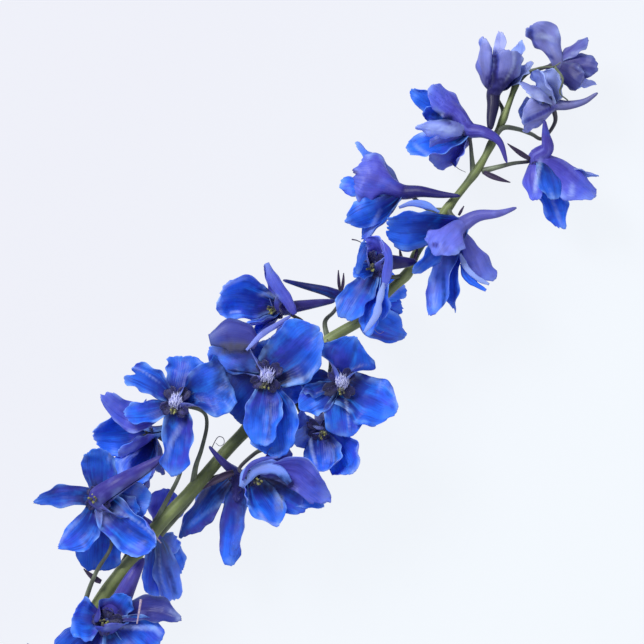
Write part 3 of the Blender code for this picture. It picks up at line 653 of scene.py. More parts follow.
florets["12"] = {
    "centre": (-13.5, 4.7, 5), "faces": (-0.85, -0.05, 0.5),
    "spurTip": (4.5, 7, 1.5), "spurRadius": 2.2, "spurTaper": 0.7, "spurDark": 0.6, "bee": "dark",
    "stalk": ((-7, -15, 1), (-5.3, -4, 1), (-6.5, 0, 1), (-9.5, 2, 2)),
    "sepals": [
        sepal((-18.3, 20, 8), 7, 10, 50, sides=(1, 1)),
        sepal((-35.7, 8.8, 11), 13.8, 22, 30, 0.7, tipWidth=0.9, round=0.15, notch=0.06, tone=0.9),
        sepal((-25.5, -1.2, 12), 9),
        sepal((-22.5, -5, 8), 7, 10, 50),
        sepal((-27, 8, -6), 12, tone=0.2),
    ],
    "marks": [
        turnedEdge(((-9, 2.5, 9), (-11.8, 7.5, 10.5), (-15.9, 13.5, 10.5), (-18.4, 19.6, 9)), 4.8, 1,
                   dark=0.12),
        streak(((-21, 5), (-18, 2), (-14, -1)), 5, dark=0.6),
        streak(((-26, 14.6), (-32, 12), (-34.5, 8), (-34, 4)), 1.4, pale=0.45),
        streak(((-31, 3.3), (-29, 3.4), (-27, 3.6)), 0.6, pale=0.7),
        streak(((-21, 9.3), (-17, 9), (-14, 8)), 1.6, pale=0.4),
        turnedEdge(((-10.5, 2, 11), (-15, -1, 14), (-20, -4.2, 18.5), (-25, -9.3, 21)), 2.1, 1, pale=0.3,
                   tone=0.3),
        turnedEdge(((-11.5, 1, 10), (-13, -2, 12), (-14.5, -5, 14)), 4.5, 1, pale=0.25, cast=0.2),
    ],
}
florets["13"] = {
    "centre": (7.5, 8.5, -9), "faces": (0.8, -0.3, -0.5),
    "spurTip": (-13, 14, -7), "spurRadius": 2.0, "spurDark": 0.6,
    "stalk": ((2, -6, -1), (1, 0, -3), (4, 3.5, -6)),
    "sepals": [
        sepal((28.7, 11, -11), 10, 22, 30, -2, sides=(0, 0), jag=0.06, tipWidth=0.9, tone=0.5),
        sepal((26, 3, -15), 10, 22, 30, -2, sides=(0, 0), jag=0.05, tone=0.3),
        sepal((28.5, -5.3, -12), 11, 22, 30, -2, sides=(0, 0), tipWidth=0.4, tone=0.3),
        sepal((17, -3, -16), 8, sides=(0, 0)),
        sepal((19, 9, -25), 12, 8, 10),
    ],
    "marks": [
        streak(((14, -3), (19, -5), (25, -5.8)), 1.3, cast=-0.6, dark=0.3),
        streak(((22, 8), (26, 11), (28.5, 12)), 1.2, pale=0.35),
    ],
}
florets["14"] = {
    "centre": (18.5, 19.5, 7), "faces": (-0.55, -0.15, 0.8),
    "spurTip": (31.5, 20, 3), "spurRadius": 3.0, "spurTaper": 0.6, "spurDark": 0.85, "bee": "dark",
    "stalk": ((28, 15.5, -1.5), (24.5, 15, 0), (21, 15.5, 2)),
    "sepals": [
        sepal((18.5, 28, 14), 9, 25, 50, sides=(1, 1)),
        sepal((10.5, 16, 13), 6),
        sepal((6.4, 1.3, 11), 11, 15, tipWidth=0.75, tone=-0.1),
        sepal((14, -4, 13), 7, 10, 50),
        sepal((13, 26, 3), 8),
        sepal((20, 1, 8), 7, tone=0.7),
    ],
    "marks": [
        turnedEdge(((19.5, 27, 14), (22, 22, 15), (21.5, 16, 14), (20.3, 11, 13)), 3.5, 1),
        turnedEdge(((20.5, 13, 14), (19, 7, 15), (17.8, 2, 15), (14, -3.5, 14.5)), 2.8, pale=0.6),
        turnedEdge(((14.5, 25, 13), (12.8, 20.5, 14), (11.7, 15.9, 14)), 3, dark=0.25),
        streak(((7, 8), (4.5, 4), (5.5, 1.5)), 1.1, pale=0.35),
    ],
}
florets["15"] = {
    "centre": (26.5, 43.5, -4), "faces": (-0.85, -0.15, -0.45),
    "spurTip": (46, 42, 1.5), "spurRadius": 2.4, "spurDark": 0.7,
    "stalk": ((41, 37, -3), (35, 38, -6), (30, 42, -5)),
    "sepals": [
        sepal((9.2, 49.2, -1), 16, 22, 45, -1.2, sides=(1, 1), jag=0.08, tone=-0.1),
        sepal((11.6, 60.8, -8), 7, 8, 30, -0.5, sides=(0, 0), pale=0.15),
        sepal((6, 45.3, -8), 8.5, sides=(0, 0), tone=0.6),
        sepal((7.6, 33.5, -3), 10, 22, 30, -1.5, sides=(0, 0), tipWidth=0.35, tone=0.4),
        sepal((12.8, 26.8, -6), 8.6, 10, 40, 1.2, sides=(0, 0)),
        sepal((13, 42, -9), 8, sides=(0, 0)),
        sepal((17, 45, -25), 12, 8, 10),
    ],
    "marks": [
        streak(((8.8, 50.3), (10.5, 50), (12, 49.3)), 1.6, cast=-0.6, dark=0.7),
        streak(((19.5, 37), (17, 32), (15.5, 28)), 1.5, pale=0.35),
    ],
}
florets["16"] = {
    "centre": (46, 32, 4), "faces": (-0.5, -0.75, 0.25),
    "spurTip": (64.7, 38, 6), "spurRadius": 2.6,
    "stalk": ((42, 38, -3), (43, 36, -1), (45, 34, 1.5)),
    "sepals": [
        sepal((37, 22.5, 15), 14, 30, 45, sides=(1, 1), pale=0.12),
        sepal((19.8, 31.5, 9), 16, 0, 30, 1.2, sides=(0, 0), tone=0.1, jag=0.08),
        sepal((37.3, 0.6, 2), 10, 10, 40, 0.6, bow=-3, tone=0.5, claw=0.55, tipWidth=0.4, pale=0.1),
        sepal((41.8, 3, -1), 9, 10, 40, 0.6, bow=-2.8, tone=0.4, claw=0.5, tipWidth=0.4),
        sepal((56.6, 13.2, 6), 10, -5, 40, -1.6, claw=0.12, widest=0.72, sides=(1, 1), pale=0.12),
        sepal((32.3, 15.3, 8), 8),
    ],
    "marks": [
        turnedEdge(((25.5, 38, 11), (30, 39.4, 11.5), (35, 38.6, 11), (39, 36.5, 10)), 2.3, pale=0.35),
        streak(((36.8, 17), (37.2, 9), (38, 3)), 1.8, pale=0.35),
        streak(((40.6, 17), (40.6, 9), (40.6, 4)), 1.4, dark=0.7),
        turnedEdge(((46.3, 19.5, 7), (48, 15.2, 8), (51, 12.6, 8.5), (54.5, 10.5, 8)), 2.8, tone=0.6),
        streak(((35, 17), (34.7, 10), (36.5, 3)), 1.2, cast=-0.6),
        turnedEdge(((45.8, 22.8, 8), (48, 18, 9.3), (51.5, 14.6, 9.8), (55.5, 12.5, 9)), 2.2, pale=0.65),
        streak(((36.5, 25.5), (37.5, 25.6), (38.5, 25.3)), 1.4, cast=-0.6, dark=0.7),
    ],
}
florets["17"] = {
    "centre": (48.5, 64.5, 0), "faces": (-0.95, 0.1, 0.25),
    "spurTip": (61.5, 53, 3.5), "spurRadius": 2.5, "spurBends": ((59, 60, 3), (54, 63.2, 2)),
    "stalk": ((50.5, 50, -4), (50, 55, -4), (49.5, 60, -2)),
    "sepals": [
        sepal((35.2, 77, 3), 12.4, 30, 30, -0.9, sides=(1, 1)),
        sepal((28.5, 76.4, -6), 8.5, sides=(0, 0)),
        sepal((31, 64.5, 9), 7, pale=0.3),
        sepal((28, 58, 4), 12, 22, 30, 1, tone=0.5),
        sepal((35.6, 54.6, 0), 15, 35, 30, -1.2, claw=0.65, sides=(1, 1), dark=0.08),
        sepal((43.5, 52, -3), 8, 20, sides=(1, 1), dark=0.15),
        sepal((35, 62, -13), 10),
        sepal((33.5, 71, -2), 9, sides=(0, 0), tone=0.5),
    ],
    "marks": [
        streak(((34, 77.5), (37, 75), (40, 71.5)), 6, tone=0.3),
        streak(((32.5, 64.3), (38, 64.2), (45, 63.8)), 3.4, pale=0.75),
        streak(((36, 68.5), (40, 68.2), (44, 66.5)), 3.2, dark=0.8),
        streak(((30, 60), (34, 56.5), (40, 54)), 1.4, pale=0.3),
    ],
}
florets["18"] = {
    "centre": (72, 54.5, -7), "faces": (0.2, -0.95, 0.25),
    "spurTip": (74.2, 67.4, -3), "spurRadius": 3.0,
    "spurBends": ((74.7, 62.5, -3.5), (75.2, 58, -5)),
    "stalk": ((53.5, 50.4, -4.5), (59, 51.8, -3), (64, 53, -4), (69, 53.6, -6.5)),
    "sepals": [
        sepal((90.5, 40.7, -2), 15.5, 20, 40, -1.6, claw=0.5, sides=(1, 1)),
        sepal((92.5, 47.7, -10), 4, 8, pale=0.4),
        sepal((71.3, 40.2, -1), 9, 22, 30, -0.9),
        sepal((78, 40.5, 1), 9, sides=(0, 0)),
        sepal((80, 30.5, -8), 9, tipWidth=0.35, tone=0.5),
        sepal((78, 40, -25), 11, 8, 10),
    ],
    "marks": [
        streak(((73, 54.3), (71.7, 48), (71, 42.5)), 1.4, pale=0.65),
        streak(((83.5, 46), (83.3, 43.5), (83, 41.5)), 1.6, pale=0.5),
        streak(((76, 44), (78.5, 37), (80, 33)), 1.3, pale=0.3),
    ],
}
florets["19"] = {
    "centre": (57.5, 77, -5), "faces": (0, 1, 0.1),
    "spurTip": (56, 64, -1), "spurRadius": 2.2, "spurTaper": 0.5, "spurDark": 1.0,
    "stalk": ((60.5, 68, -6), (60.5, 71, -9), (59, 74, -8)),
    "sepals": [
        sepal((62, 91.5, 3), 10, 40, 30, -0.6, sides=(1, 1), cast=0.3, pale=0.05, dark=0.15),
        sepal((55.2, 95, -2), 7.5, 35, 30, -0.6, sides=(1, 1), cast=0.3, pale=0.1),
        sepal((59.3, 97.7, -8), 4, 30, sides=(1, 1), pale=0.35, cast=0.4),
        sepal((66.2, 94.3, -6), 7.5, 35, 30, 0.3, cast=0.2, pale=0.35),
        sepal((69.5, 87.5, -4), 7, 20, 30, 0.6, pale=0.5, cast=0.3),
    ],
    "marks": [
        streak(((54, 79.5), (59, 79), (65, 80)), 6.5, dark=0.9),
        streak(((56.7, 79), (57.5, 85), (57.3, 91)), 2.1, cast=-0.6, dark=0.95),
        streak(((61, 80), (64, 86), (63.5, 91)), 1.2, pale=0.5, cast=0.3),
        streak(((53, 83), (51.3, 88), (53, 94)), 1.0, cast=-0.6, pale=0.3),
    ],
}
florets["20"] = {
    "centre": (77, 72.5, -7), "faces": (-0.9, 0.15, 0.3),
    "spurTip": (92, 76.5, -3), "spurRadius": 1.9, "spurBends": ((87.5, 73.6, -4), (82, 72.4, -5)),
    "stalk": ((56.5, 59.5, -5), (60, 64.6, -4), (65, 64.6, -7), (70, 63, -11), (74, 61.5, -13),
              (78, 67, -9.5)),
    "sepals": [
        sepal((66.3, 67, 1), 13, 22, 45, -0.8, sides=(1, 1), cast=0.3, pale=0.12),
        sepal((70, 83, 1), 10, 22, 30, 0.6, pale=0.5, cast=0.25),
        sepal((77, 84, 0), 9, 22, 30, 0.8, pale=0.5, cast=0.35),
        sepal((65.8, 79, 0), 9, pale=0.3, cast=0.3),
        sepal((72, 83.5, -13), 9, pale=0.45, cast=0.3),
        sepal((66, 70.5, -15), 9, pale=0.3, cast=0.2),
    ],
    "marks": [
        streak(((75, 76), (71, 76), (66.5, 73.5)), 2.2, pale=0.7, cast=0.3),
        streak(((78, 72), (72, 69), (67, 66.5)), 1.2, cast=-0.6, dark=0.4),
    ],
}
florets["21"] = {
    "centre": (79, 86.5, -8), "faces": (0.85, 0, -0.35),
    "spurTip": (77, 80, -19),
    "stalk": ((65, 80, -7), (69, 83.5, -8), (74, 85, -8)),
    "sepals": [
        sepal((69.5, 100, -6), 10.5, -5, 30, -1.6, sides=(1, 1), cast=0.3, pale=0.12, tipWidth=0.45),
        sepal((89.4, 94, -8), 7.2, cast=0.2, dark=0.3, sides=(1, 1)),
        sepal((92.8, 85, -5), 7.5, 10, tipWidth=0.5, ruffle=0.4, cast=0.15, dark=0.6, sides=(1, 1)),
        sepal((87.5, 79.5, -2), 9, 22, 30, -1.2, ruffle=0.4, dark=0.75, cast=0.15, sides=(1, 1)),
        sepal((92.3, 78, -10), 5, pale=0.3, cast=0.2),
        sepal((88, 82, -25), 10, 8, 10, cast=0.2),
    ],
    "marks": [
        streak(((71, 95.5), (74.5, 95.4), (78, 94)), 1.8, pale=0.6, cast=0.3),
        streak(((83, 89.5), (86, 90), (88.5, 90)), 1.6, pale=0.5, cast=0.2),
        streak(((84.5, 85.3), (87.5, 83.5), (90, 82.2)), 1.0, pale=0.5),
        streak(((72.5, 90), (70, 94), (69.5, 98)), 1.6, cast=-0.6, dark=0.6),
        streak(((66, 99.5), (66.3, 96.5), (67.5, 94)), 1.5, dark=0.9, cast=-0.4),
        streak(((70, 92.3), (73.5, 90.2), (77.5, 88)), 1.0, dark=0.7),
    ],
}
florets = {name: {**plainFloret, **floret} for name, floret in florets.items()}


# How finely a sepal is cut, its thicknesses in mm, and what every sepal has. Places along a sepal
# run from 0 at its claw to 1 at its tip, and down its spur to -1. Those across it run from -1 to 1.
sepalForm = {
    "rows": 32, "cols": 26, "spurRows": 20, "ribSteps": 24, "spurLineSteps": 8,
    "middleMm": 0.4, "edgeMm": 0.14, "spurTipMm": 0.32, "rootReachMm": 1.0,
    "pressedMm": 0.35,  # the lowest that a sepal lies, above the surface under the spike
    "curlStart": 0.6, "twistStart": 0.25, "rollAlong": (0.15, 0.6), "fuller": 1.1,
    "creaseWidth": 0.14, "creaseFade": 0.6,
    # a higher endPower makes a squarer end; endWaves is in radians from the rib to the side, and
    # the side's waves and the jags are counted in cells of the noise
    "swellPower": 1.2, "endPower": 2.6, "notchWidth": 0.2, "endWave": 0.02, "endWaves": 4,
    "sideWave": 0.26, "sideWaves": 2.6, "broadJags": 3.5, "broadJagShare": 1.6, "fineJags": 9,
    # broad and fine waves are given as noise cells to a mm
    "waveMm": 1.9, "broadWave": 0.1, "fineWave": 0.32, "fineShare": 0.34,
    "spurMouth": (0.0, 0.5),  # where the spur opens into the flat sepal
    "spurDarkMouth": (-0.15, 0.2),  # where the spur's darkness passes into the sepal's own
    "spurKnees": (0.68, 0.33),  # of its length from the flower, where a spur bends
    "spurTipShare": 0.3, "spurTipReach": 0.06, "spurFlare": 0.2,
    "spurRoll": 0.97,  # of half a turn, so that the edges nearly meet along the spur
    "coreLong": 2.0, "coreWide": 1.7,  # the knob in the middle that the sepals grow from
}


def sepalThickness(along, across):
    return mix(sepalForm["middleMm"], sepalForm["edgeMm"], across * across)


def sepalWidthAt(s, petal):
    if s < petal["widest"]:
        swell = math.sin(max(0.0, s) / petal["widest"] * math.pi / 2) ** sepalForm["swellPower"]
        return petal["claw"] + (1 - petal["claw"]) * swell
    past = (s - petal["widest"]) / (1 - petal["widest"])
    return 1 - (1 - petal["tipWidth"]) * past ** 2


# How far a petal reaches at t across it: its end is rounded, notched, waved and jagged
def sepalEndAt(t, petal, seed, phase):
    end = 1 - petal["round"] * abs(t) ** sepalForm["endPower"]
    end -= petal["notch"] * math.exp(-(t / sepalForm["notchWidth"]) ** 2)
    end += sepalForm["endWave"] * math.sin(sepalForm["endWaves"] * t + phase)
    broad = abs(noise.noise(Vector((t * sepalForm["broadJags"], 0, 0)) + seed))
    end -= petal["jag"] * broad * sepalForm["broadJagShare"]
    end -= petal["jag"] * abs(noise.noise(Vector((t * sepalForm["fineJags"], 5, 0)) + seed))
    return end


# How much wider or narrower the side of a petal is than its plain outline
def sepalSideAt(s, t, petal, seed):
    side = 9 if t > 0 else -9  # each side reads its own row of the noise
    broad = noise.noise(Vector((s * sepalForm["sideWaves"], side, 0)) + seed)
    fine = noise.noise(Vector((s * sepalForm["fineJags"], side, 3)) + seed)
    return 1 + sepalForm["sideWave"] * broad + petal["jag"] * fine


# The rib is a Bezier curve in the plane of radial and faces, as in the frame's own sepals
def ribPoint(root, tip, radial, faces, petal, s):
    chord = tip - root
    rise = math.atan2(chord.dot(faces), chord.dot(radial))
    bend = math.radians(petal["bend"])
    third = chord.length / 3
    start = radial * math.cos(rise - bend) + faces * math.sin(rise - bend)
    end = radial * math.cos(rise + bend) + faces * math.sin(rise + bend)
    b, c = root + start * third, tip - end * third
    u = 1 - s
    return root * u ** 3 + b * 3 * u * u * s + c * 3 * u * s * s + tip * s ** 3


# The last part of the rib curls on, forward over the inner face or back
def curlTip(line, places, faces, radial, petal):
    axis = radial.cross(faces)
    curled = list(line)
    for k in range(1, len(line)):
        step = line[k] - line[k - 1]
        past = max(0.0, places[k] - sepalForm["curlStart"]) / (1 - sepalForm["curlStart"])
        turn = Matrix.Rotation(math.radians(petal["curl"]) * past, 3, axis)
        curled[k] = curled[k - 1] + turn @ step
    return curled


# Places along a petal: point on its line, heading and way of the inner face
def ribFrames(centre, faces, petal, spurPoints):
    tip = Vector(petal["tip"]) - centre
    radial = (tip - faces * tip.dot(faces)).normalized()
    root = radial * sepalForm["rootReachMm"]
    steps = sepalForm["ribSteps"]
    if spurPoints:
        ribStart = [ribPoint(root, tip, radial, faces, petal, s) for s in (0.34, 0.67, 1.0)]
        line = smoothLine(spurPoints + ribStart, sepalForm["spurLineSteps"])
        places = [k / steps - 1 for k in range(2 * steps + 1)]
    else:
        line = [ribPoint(root, tip, radial, faces, petal, k / steps) for k in range(steps + 1)]
        places = [k / steps for k in range(steps + 1)]
    line = curlTip(line, places, faces, radial, petal)
    frames = []
    for k, point in enumerate(line):
        heading = (line[min(k + 1, len(line) - 1)] - line[max(k - 1, 0)]).normalized()
        inward = faces * heading.dot(radial) - radial * heading.dot(faces)
        inward = inward + (lensWay - heading * heading.z) * petal["show"]
        frames.append([places[k], point, heading, inward.normalized()])
    if spurPoints:
        # the spur carries on the way that the sepal faces where it leaves the flower
        for k in range(places.index(0.0) + 2, -1, -1):
            inward = frames[k + 1][3]
            heading = frames[k][2]
            frames[k][3] = (inward - heading * inward.dot(heading)).normalized()
    return frames


def frameAt(frames, s):
    span = frames[-1][0] - frames[0][0]
    place = (s - frames[0][0]) / span * (len(frames) - 1)
    k = min(len(frames) - 2, max(0, int(place)))
    share = min(1.0, max(0.0, place - k))
    point = frames[k][1].lerp(frames[k + 1][1], share)
    heading = frames[k][2].lerp(frames[k + 1][2], share).normalized()
    inward = frames[k][3].lerp(frames[k + 1][3], share)
    inward = (inward - heading * inward.dot(heading)).normalized()
    return point, inward, inward.cross(heading)


# What a petal leaves open is drawn by chance between these limits, so that no two are alike. All
# are degrees but the tone, which is darker below zero and brighter above.
leftToChance = {"twist": (-22, 22), "curl": (-35, 25), "rollLeft": (-30, 45), "rollRight": (-30, 45),
                "tone": (-0.7, 0.7)}


def settlePetal(petal, rng):
    settled = dict(petal)
    for name, limits in leftToChance.items():
        drawn = rng.uniform(*limits)
        settled[name] = drawn if petal.get(name) is None else petal[name]
    return settled


# The spur's own line, from its tip to the middle of the flower
def spurLine(floret, centre, faces):
    reach = Vector(floret["spurTip"]) - centre
    middle = Vector((0, 0, 0))
    if floret["spurBends"]:
        return [reach] + [Vector(bend) - centre for bend in floret["spurBends"]] + [middle]
    leave = (reach.normalized() - faces * floret["spurBack"]).normalized()
    far, near = sepalForm["spurKnees"]
    return [reach, reach * far, leave * reach.length * near, middle]


def spurRadiusAt(s, floret):
    slim = (1 - max(0.0, -s)) ** floret["spurTaper"]
    radius = mix(sepalForm["spurTipMm"], floret["spurRadius"], slim)
    # the tube closes over its tip, and opens a little where it meets the sepal
    radius *= min(1.0, sepalForm["spurTipShare"] + (1 + s) / sepalForm["spurTipReach"])
    return radius * (1 + sepalForm["spurFlare"] * max(0.0, s))


# A sepal of a floret; the upper one is given the floret too, and runs back into its spur
def addSepal(shape, centre, faces, petal, rng, floret=None):
    petal = settlePetal(petal, rng)
    frames = ribFrames(centre, faces, petal, spurLine(floret, centre, faces) if floret else None)
    rows = [k / sepalForm["rows"] for k in range(sepalForm["rows"] + 1)]
    if floret:
        rows = [k / sepalForm["spurRows"] - 1 for k in range(sepalForm["spurRows"])] + rows
    foldHere = math.radians(petal["fold"])
    seed = Vector((rng.uniform(0, 90), rng.uniform(0, 90), rng.uniform(0, 90)))
    phase = [rng.uniform(0, 2 * math.pi) for _ in range(6)]
    waves = rng.uniform(2.2, 3.4)
    grid = []
    for row in rows:
        line = []
        for j in range(sepalForm["cols"] + 1):
            t = 2 * j / sepalForm["cols"] - 1
            s = row * sepalEndAt(t, petal, seed, phase[0]) if row > 0 else row
            point, inward, across = frameAt(frames, s)
            sway = math.radians(petal["twist"]) * (max(0.0, s) - sepalForm["twistStart"])
            inward, across = (inward * math.cos(sway) + across * math.sin(sway),
                              across * math.cos(sway) - inward * math.sin(sway))
            half = petal["width"] * sepalForm["fuller"] / 2 * sepalWidthAt(s, petal)
            half *= sepalSideAt(s, t, petal, seed)
            fold, opened = foldHere, 1.0
            if floret:
                opened = smoothstep(*sepalForm["spurMouth"], s)
                radius = spurRadiusAt(s, floret)
                half = mix(math.pi * radius, half, opened)
                fold = mix(math.pi * sepalForm["spurRoll"], foldHere, opened)
                point = point - inward * radius * (1 - opened)
            roll = math.radians(petal["rollLeft"] if t < 0 else petal["rollRight"])
            roll *= opened * smoothstep(*sepalForm["rollAlong"], s)
            x, y, arc = crossSection(t, fold, roll)
            way = inward * math.cos(arc) - across * math.sin(arc)
            grown = max(0.0, s) * opened
            ripple = math.sin(2 * math.pi * waves * s + phase[4 + (t > 0)])
            ripple = petal["ruffle"] * t * t * grown * ripple
            point = point + across * petal["bow"] * math.sin(math.pi * max(0.0, s))
            flat = centre + point + across * half * x
            drift = sepalForm["waveMm"] * grown * noise.noise(flat * sepalForm["broadWave"] + seed)
            fine = sepalForm["fineShare"] * sepalForm["waveMm"] * grown
            drift += fine * noise.noise(flat * sepalForm["fineWave"] + seed)
            groove = petal["crease"] * math.exp(-(t / sepalForm["creaseWidth"]) ** 2) * grown
            groove *= 1 - sepalForm["creaseFade"] * grown
            spot = point + across * half * x + inward * half * y + way * (ripple + drift - groove)
            spot = centre + spot
            spot.z = max(spot.z, sepalForm["pressedMm"] - layout["depth"])
            line.append((spot, way, s, t))
        grid.append(line)
    darkAtSpur = floret["spurDark"] if floret else petal["dark"]

    def tintAt(s):
        past = smoothstep(*sepalForm["spurDarkMouth"], s)
        return petal["tone"], mix(darkAtSpur, petal["dark"], past), petal["pale"]

    addSheet(shape, grid, sepalThickness, petal["sides"], tintAt, petal["cast"])


# A streak's soft sides in its own widths, its soft ends in shares of its length, how uneven it is,
# and the height in mm of a pale one. A dark one is a groove instead.
streakForm = {"reach": 0.9, "sides": (0.2, 0.85), "ends": (-0.12, 0.2), "share": 0.85, "uneven": 0.5,
              "patches": 0.9, "ridgeMm": 0.3, "grooveShare": 0.5, "lighten": 0.7}


# Raises a low ridge along the path and shifts the tints beside it, which paints the streak's highlight or
# shade there
def paintStreak(shape, mark, rng):
    line = smoothLine([Vector((x, y, 0)) for x, y in mark["path"]], 6)
    seed = Vector((rng.uniform(0, 90), rng.uniform(0, 90), 0))
    reach = mark["width"] * streakForm["reach"]
    left, right = min(p.x for p in line) - reach, max(p.x for p in line) + reach
    low, high = min(p.y for p in line) - reach, max(p.y for p in line) + reach
    for i, point in enumerate(shape["points"]):
        if not (left < point.x < right and low < point.y < high):
            continue
        flat = Vector((point.x, point.y, 0))
        gaps = [(flat - spot).length for spot in line]
        nearest = min(gaps)
        share = gaps.index(nearest) / (len(line) - 1)
        weight = 1 - smoothstep(*streakForm["sides"], nearest / mark["width"])
        weight *= smoothstep(*streakForm["ends"], share) * smoothstep(*streakForm["ends"], 1 - share)
        patch = noise.noise(flat * streakForm["patches"] + seed)
        weight *= streakForm["share"] + streakForm["uneven"] * patch
        weight = min(1.0, max(0.0, weight))
        along, across, cast = shape["map"][i]
        tone, dark, pale = shape["tint"][i]
        if mark["tone"] is not None:
            tone = mix(tone, mark["tone"], weight)
        dark = mix(dark, max(dark, mark["dark"]), weight)
        dark *= 1 - streakForm["lighten"] * weight * mark["pale"]
        shape["tint"][i] = (tone, dark, mix(pale, mark["pale"], weight))
        shape["map"][i] = (along, across, mix(cast, mark["cast"], weight))
        rise = 1 if mark["pale"] else -streakForm["grooveShare"]
        shape["points"][i] = point + lensWay * streakForm["ridgeMm"] * weight * rise


stripPlaces = [j / 4 - 1 for j in range(9)]  # across the small strips, from edge to edge
edgeForm = {"thick": 0.2, "fold": 38, "roll": 20, "uneven": 0.4, "endWidth": 0.22, "blunt": 0.7}


def addTurnedEdge(shape, edge, rng):
    line = smoothLine(edge["path"], 10)
    last = len(line) - 1
    seed = Vector((rng.uniform(0, 90), rng.uniform(0, 90), 0))
    grid = []
    for i, point in enumerate(line):
        s = i / last
        heading = (line[min(i + 1, last)] - line[max(i - 1, 0)]).normalized()
        across = lensWay.cross(heading).normalized()
        way = heading.cross(across)
        swell = math.sin(math.pi * min(0.97, max(0.03, s))) ** edgeForm["blunt"]
        half = edge["width"] / 2 * (edgeForm["endWidth"] + (1 - edgeForm["endWidth"]) * swell)
        half *= 1 + edgeForm["uneven"] * noise.noise(Vector((s * 5, 0, 0)) + seed)
        row = []
        for t in stripPlaces:
            x, y, arc = crossSection(t, math.radians(edgeForm["fold"]), math.radians(edgeForm["roll"]))
            spot = point + across * half * x - way * half * y
            row.append((spot, way * math.cos(arc) + across * math.sin(arc), 0.45 + 0.5 * s, t * 0.9))
        grid.append(row)
    sides = (edge["side"], edge["side"])
    addSheet(shape, grid, lambda along, across: edgeForm["thick"], sides, edge["tint"], edge["cast"])


# The skins of a bee are, in this order: beePale, beeDark, beardHair, antherSkin and stalkSkin
bee = {
    "size": {"pale": 1.0, "dark": 0.8, "hidden": 0.5}, "forward": 1.2,
    "lobeTurns": (40, 128, 222, 318), "lobeMm": 5.8, "lobeWidth": 5.0, "lobeThick": 0.22,
    "lobeRows": 8, "lobeFold": 48, "lobeRoll": -25, "lobeArch": 0.35, "lobeForward": 0.42,
    "lobeFoot": 0.7, "lobeRound": 0.25, "lobeNotch": 0.16, "lobeNotchWidth": 0.25, "lobeClaw": 0.35,
    # the tuft is a dome, sunk into the bee, whose hairs splay and are rooted under its surface
    "tuftWide": 2.3, "tuftHigh": 1.6, "tuftForward": 1.9, "tuftUp": 0.6, "tuftLong": 1.15,
    "domeSunk": 0.55, "domeWide": 0.86,
    "tuftHairs": 110, "tuftHairMm": 2.2, "tuftHairSunk": 0.6, "tuftHairBack": 0.8, "tuftSplay": 0.12,
    "hairs": 26, "hairMm": 1.3, "hairWide": 0.1,
    "stamens": 11, "stamenMm": 4.4, "stamenRadii": [0.2, 0.17, 0.15],
    "hang": {"pale": 1.1, "dark": 0.25, "hidden": 0.25},  # how far the stamens lean down
    "antherMm": 0.55, "antherWide": 0.42,
}


# Small curved petal of the bee, from a root along a heading, cupped towards the way it faces
def addLobe(shape, root, heading, way, length, width, tint):
    across = way.cross(heading)
    grid = []
    for i in range(bee["lobeRows"] + 1):
        s = i / bee["lobeRows"]
        line = []
        for t in stripPlaces:
            notch = bee["lobeNotch"] * math.exp(-(t / bee["lobeNotchWidth"]) ** 2)
            reach = s * (1 - bee["lobeRound"] * t * t - notch)
            swell = math.sin(reach * math.pi * 0.62)
            half = width / 2 * (bee["lobeClaw"] + (1 - bee["lobeClaw"]) * swell)
            x, y, arc = crossSection(t, math.radians(bee["lobeFold"]), math.radians(bee["lobeRoll"]))
            arch = way * (bee["lobeArch"] * length * reach * reach)
            spot = root + heading * length * reach - arch + across * half * x + way * half * y
            face = way * math.cos(arc) - across * math.sin(arc)
            line.append((spot, face, reach, t))
        grid.append(line)
    addSheet(shape, grid, lambda along, across: bee["lobeThick"], (1, 1), tint)


# A hair is a slim three-sided spike
def addHair(shape, root, tip, radius, skin, tint):
    along = (tip - root).normalized()
    across = along.orthogonal().normalized()
    other = along.cross(across)
    first = len(shape["points"])
    for k in range(3):
        turn = 2 * math.pi * k / 3
        spot = root + (across * math.cos(turn) + other * math.sin(turn)) * radius
        addPoint(shape, spot, 0.0, 0.0, tint)
    addPoint(shape, tip, 1.0, 0.0, tint)
    for k in range(3):
        shape["faces"].append((first + k, first + (k + 1) % 3, first + 3))
        shape["skin"].append(skin)
    shape["faces"].append((first + 2, first + 1, first))
    shape["skin"].append(skin)


# A closed bead, long along its axis
def addBead(shape, centre, axis, long, wide, skin, tint, sides, rings):
    line = [centre + axis * long * math.cos(math.pi * k / rings) for k in range(rings, -1, -1)]
    radii = [max(0.04, wide * math.sin(math.pi * k / rings)) for k in range(rings + 1)]
    addTube(shape, line, radii, sides, skin, tint)


# Fine spikes over a lobe, every fourth one paler
def addBeard(shape, root, heading, way, length, width, rng):
    across = way.cross(heading)
    for k in range(bee["hairs"]):
        s, t = rng.uniform(0.3, 0.9), rng.uniform(-0.75, 0.75)
        arch = way * (bee["lobeArch"] * length * s * s - 0.15)
        foot = root + heading * length * s + across * t * width / 2 - arch
        lean = way + heading * rng.uniform(-0.3, 0.9) + across * (t + rng.uniform(-0.4, 0.4))
        tip = foot + lean.normalized() * bee["hairMm"] * rng.uniform(0.5, 1.1)
        addHair(shape, foot, tip, bee["hairWide"], 1, (0, 0.0, 0.5 if k % 4 == 0 else 0.0))


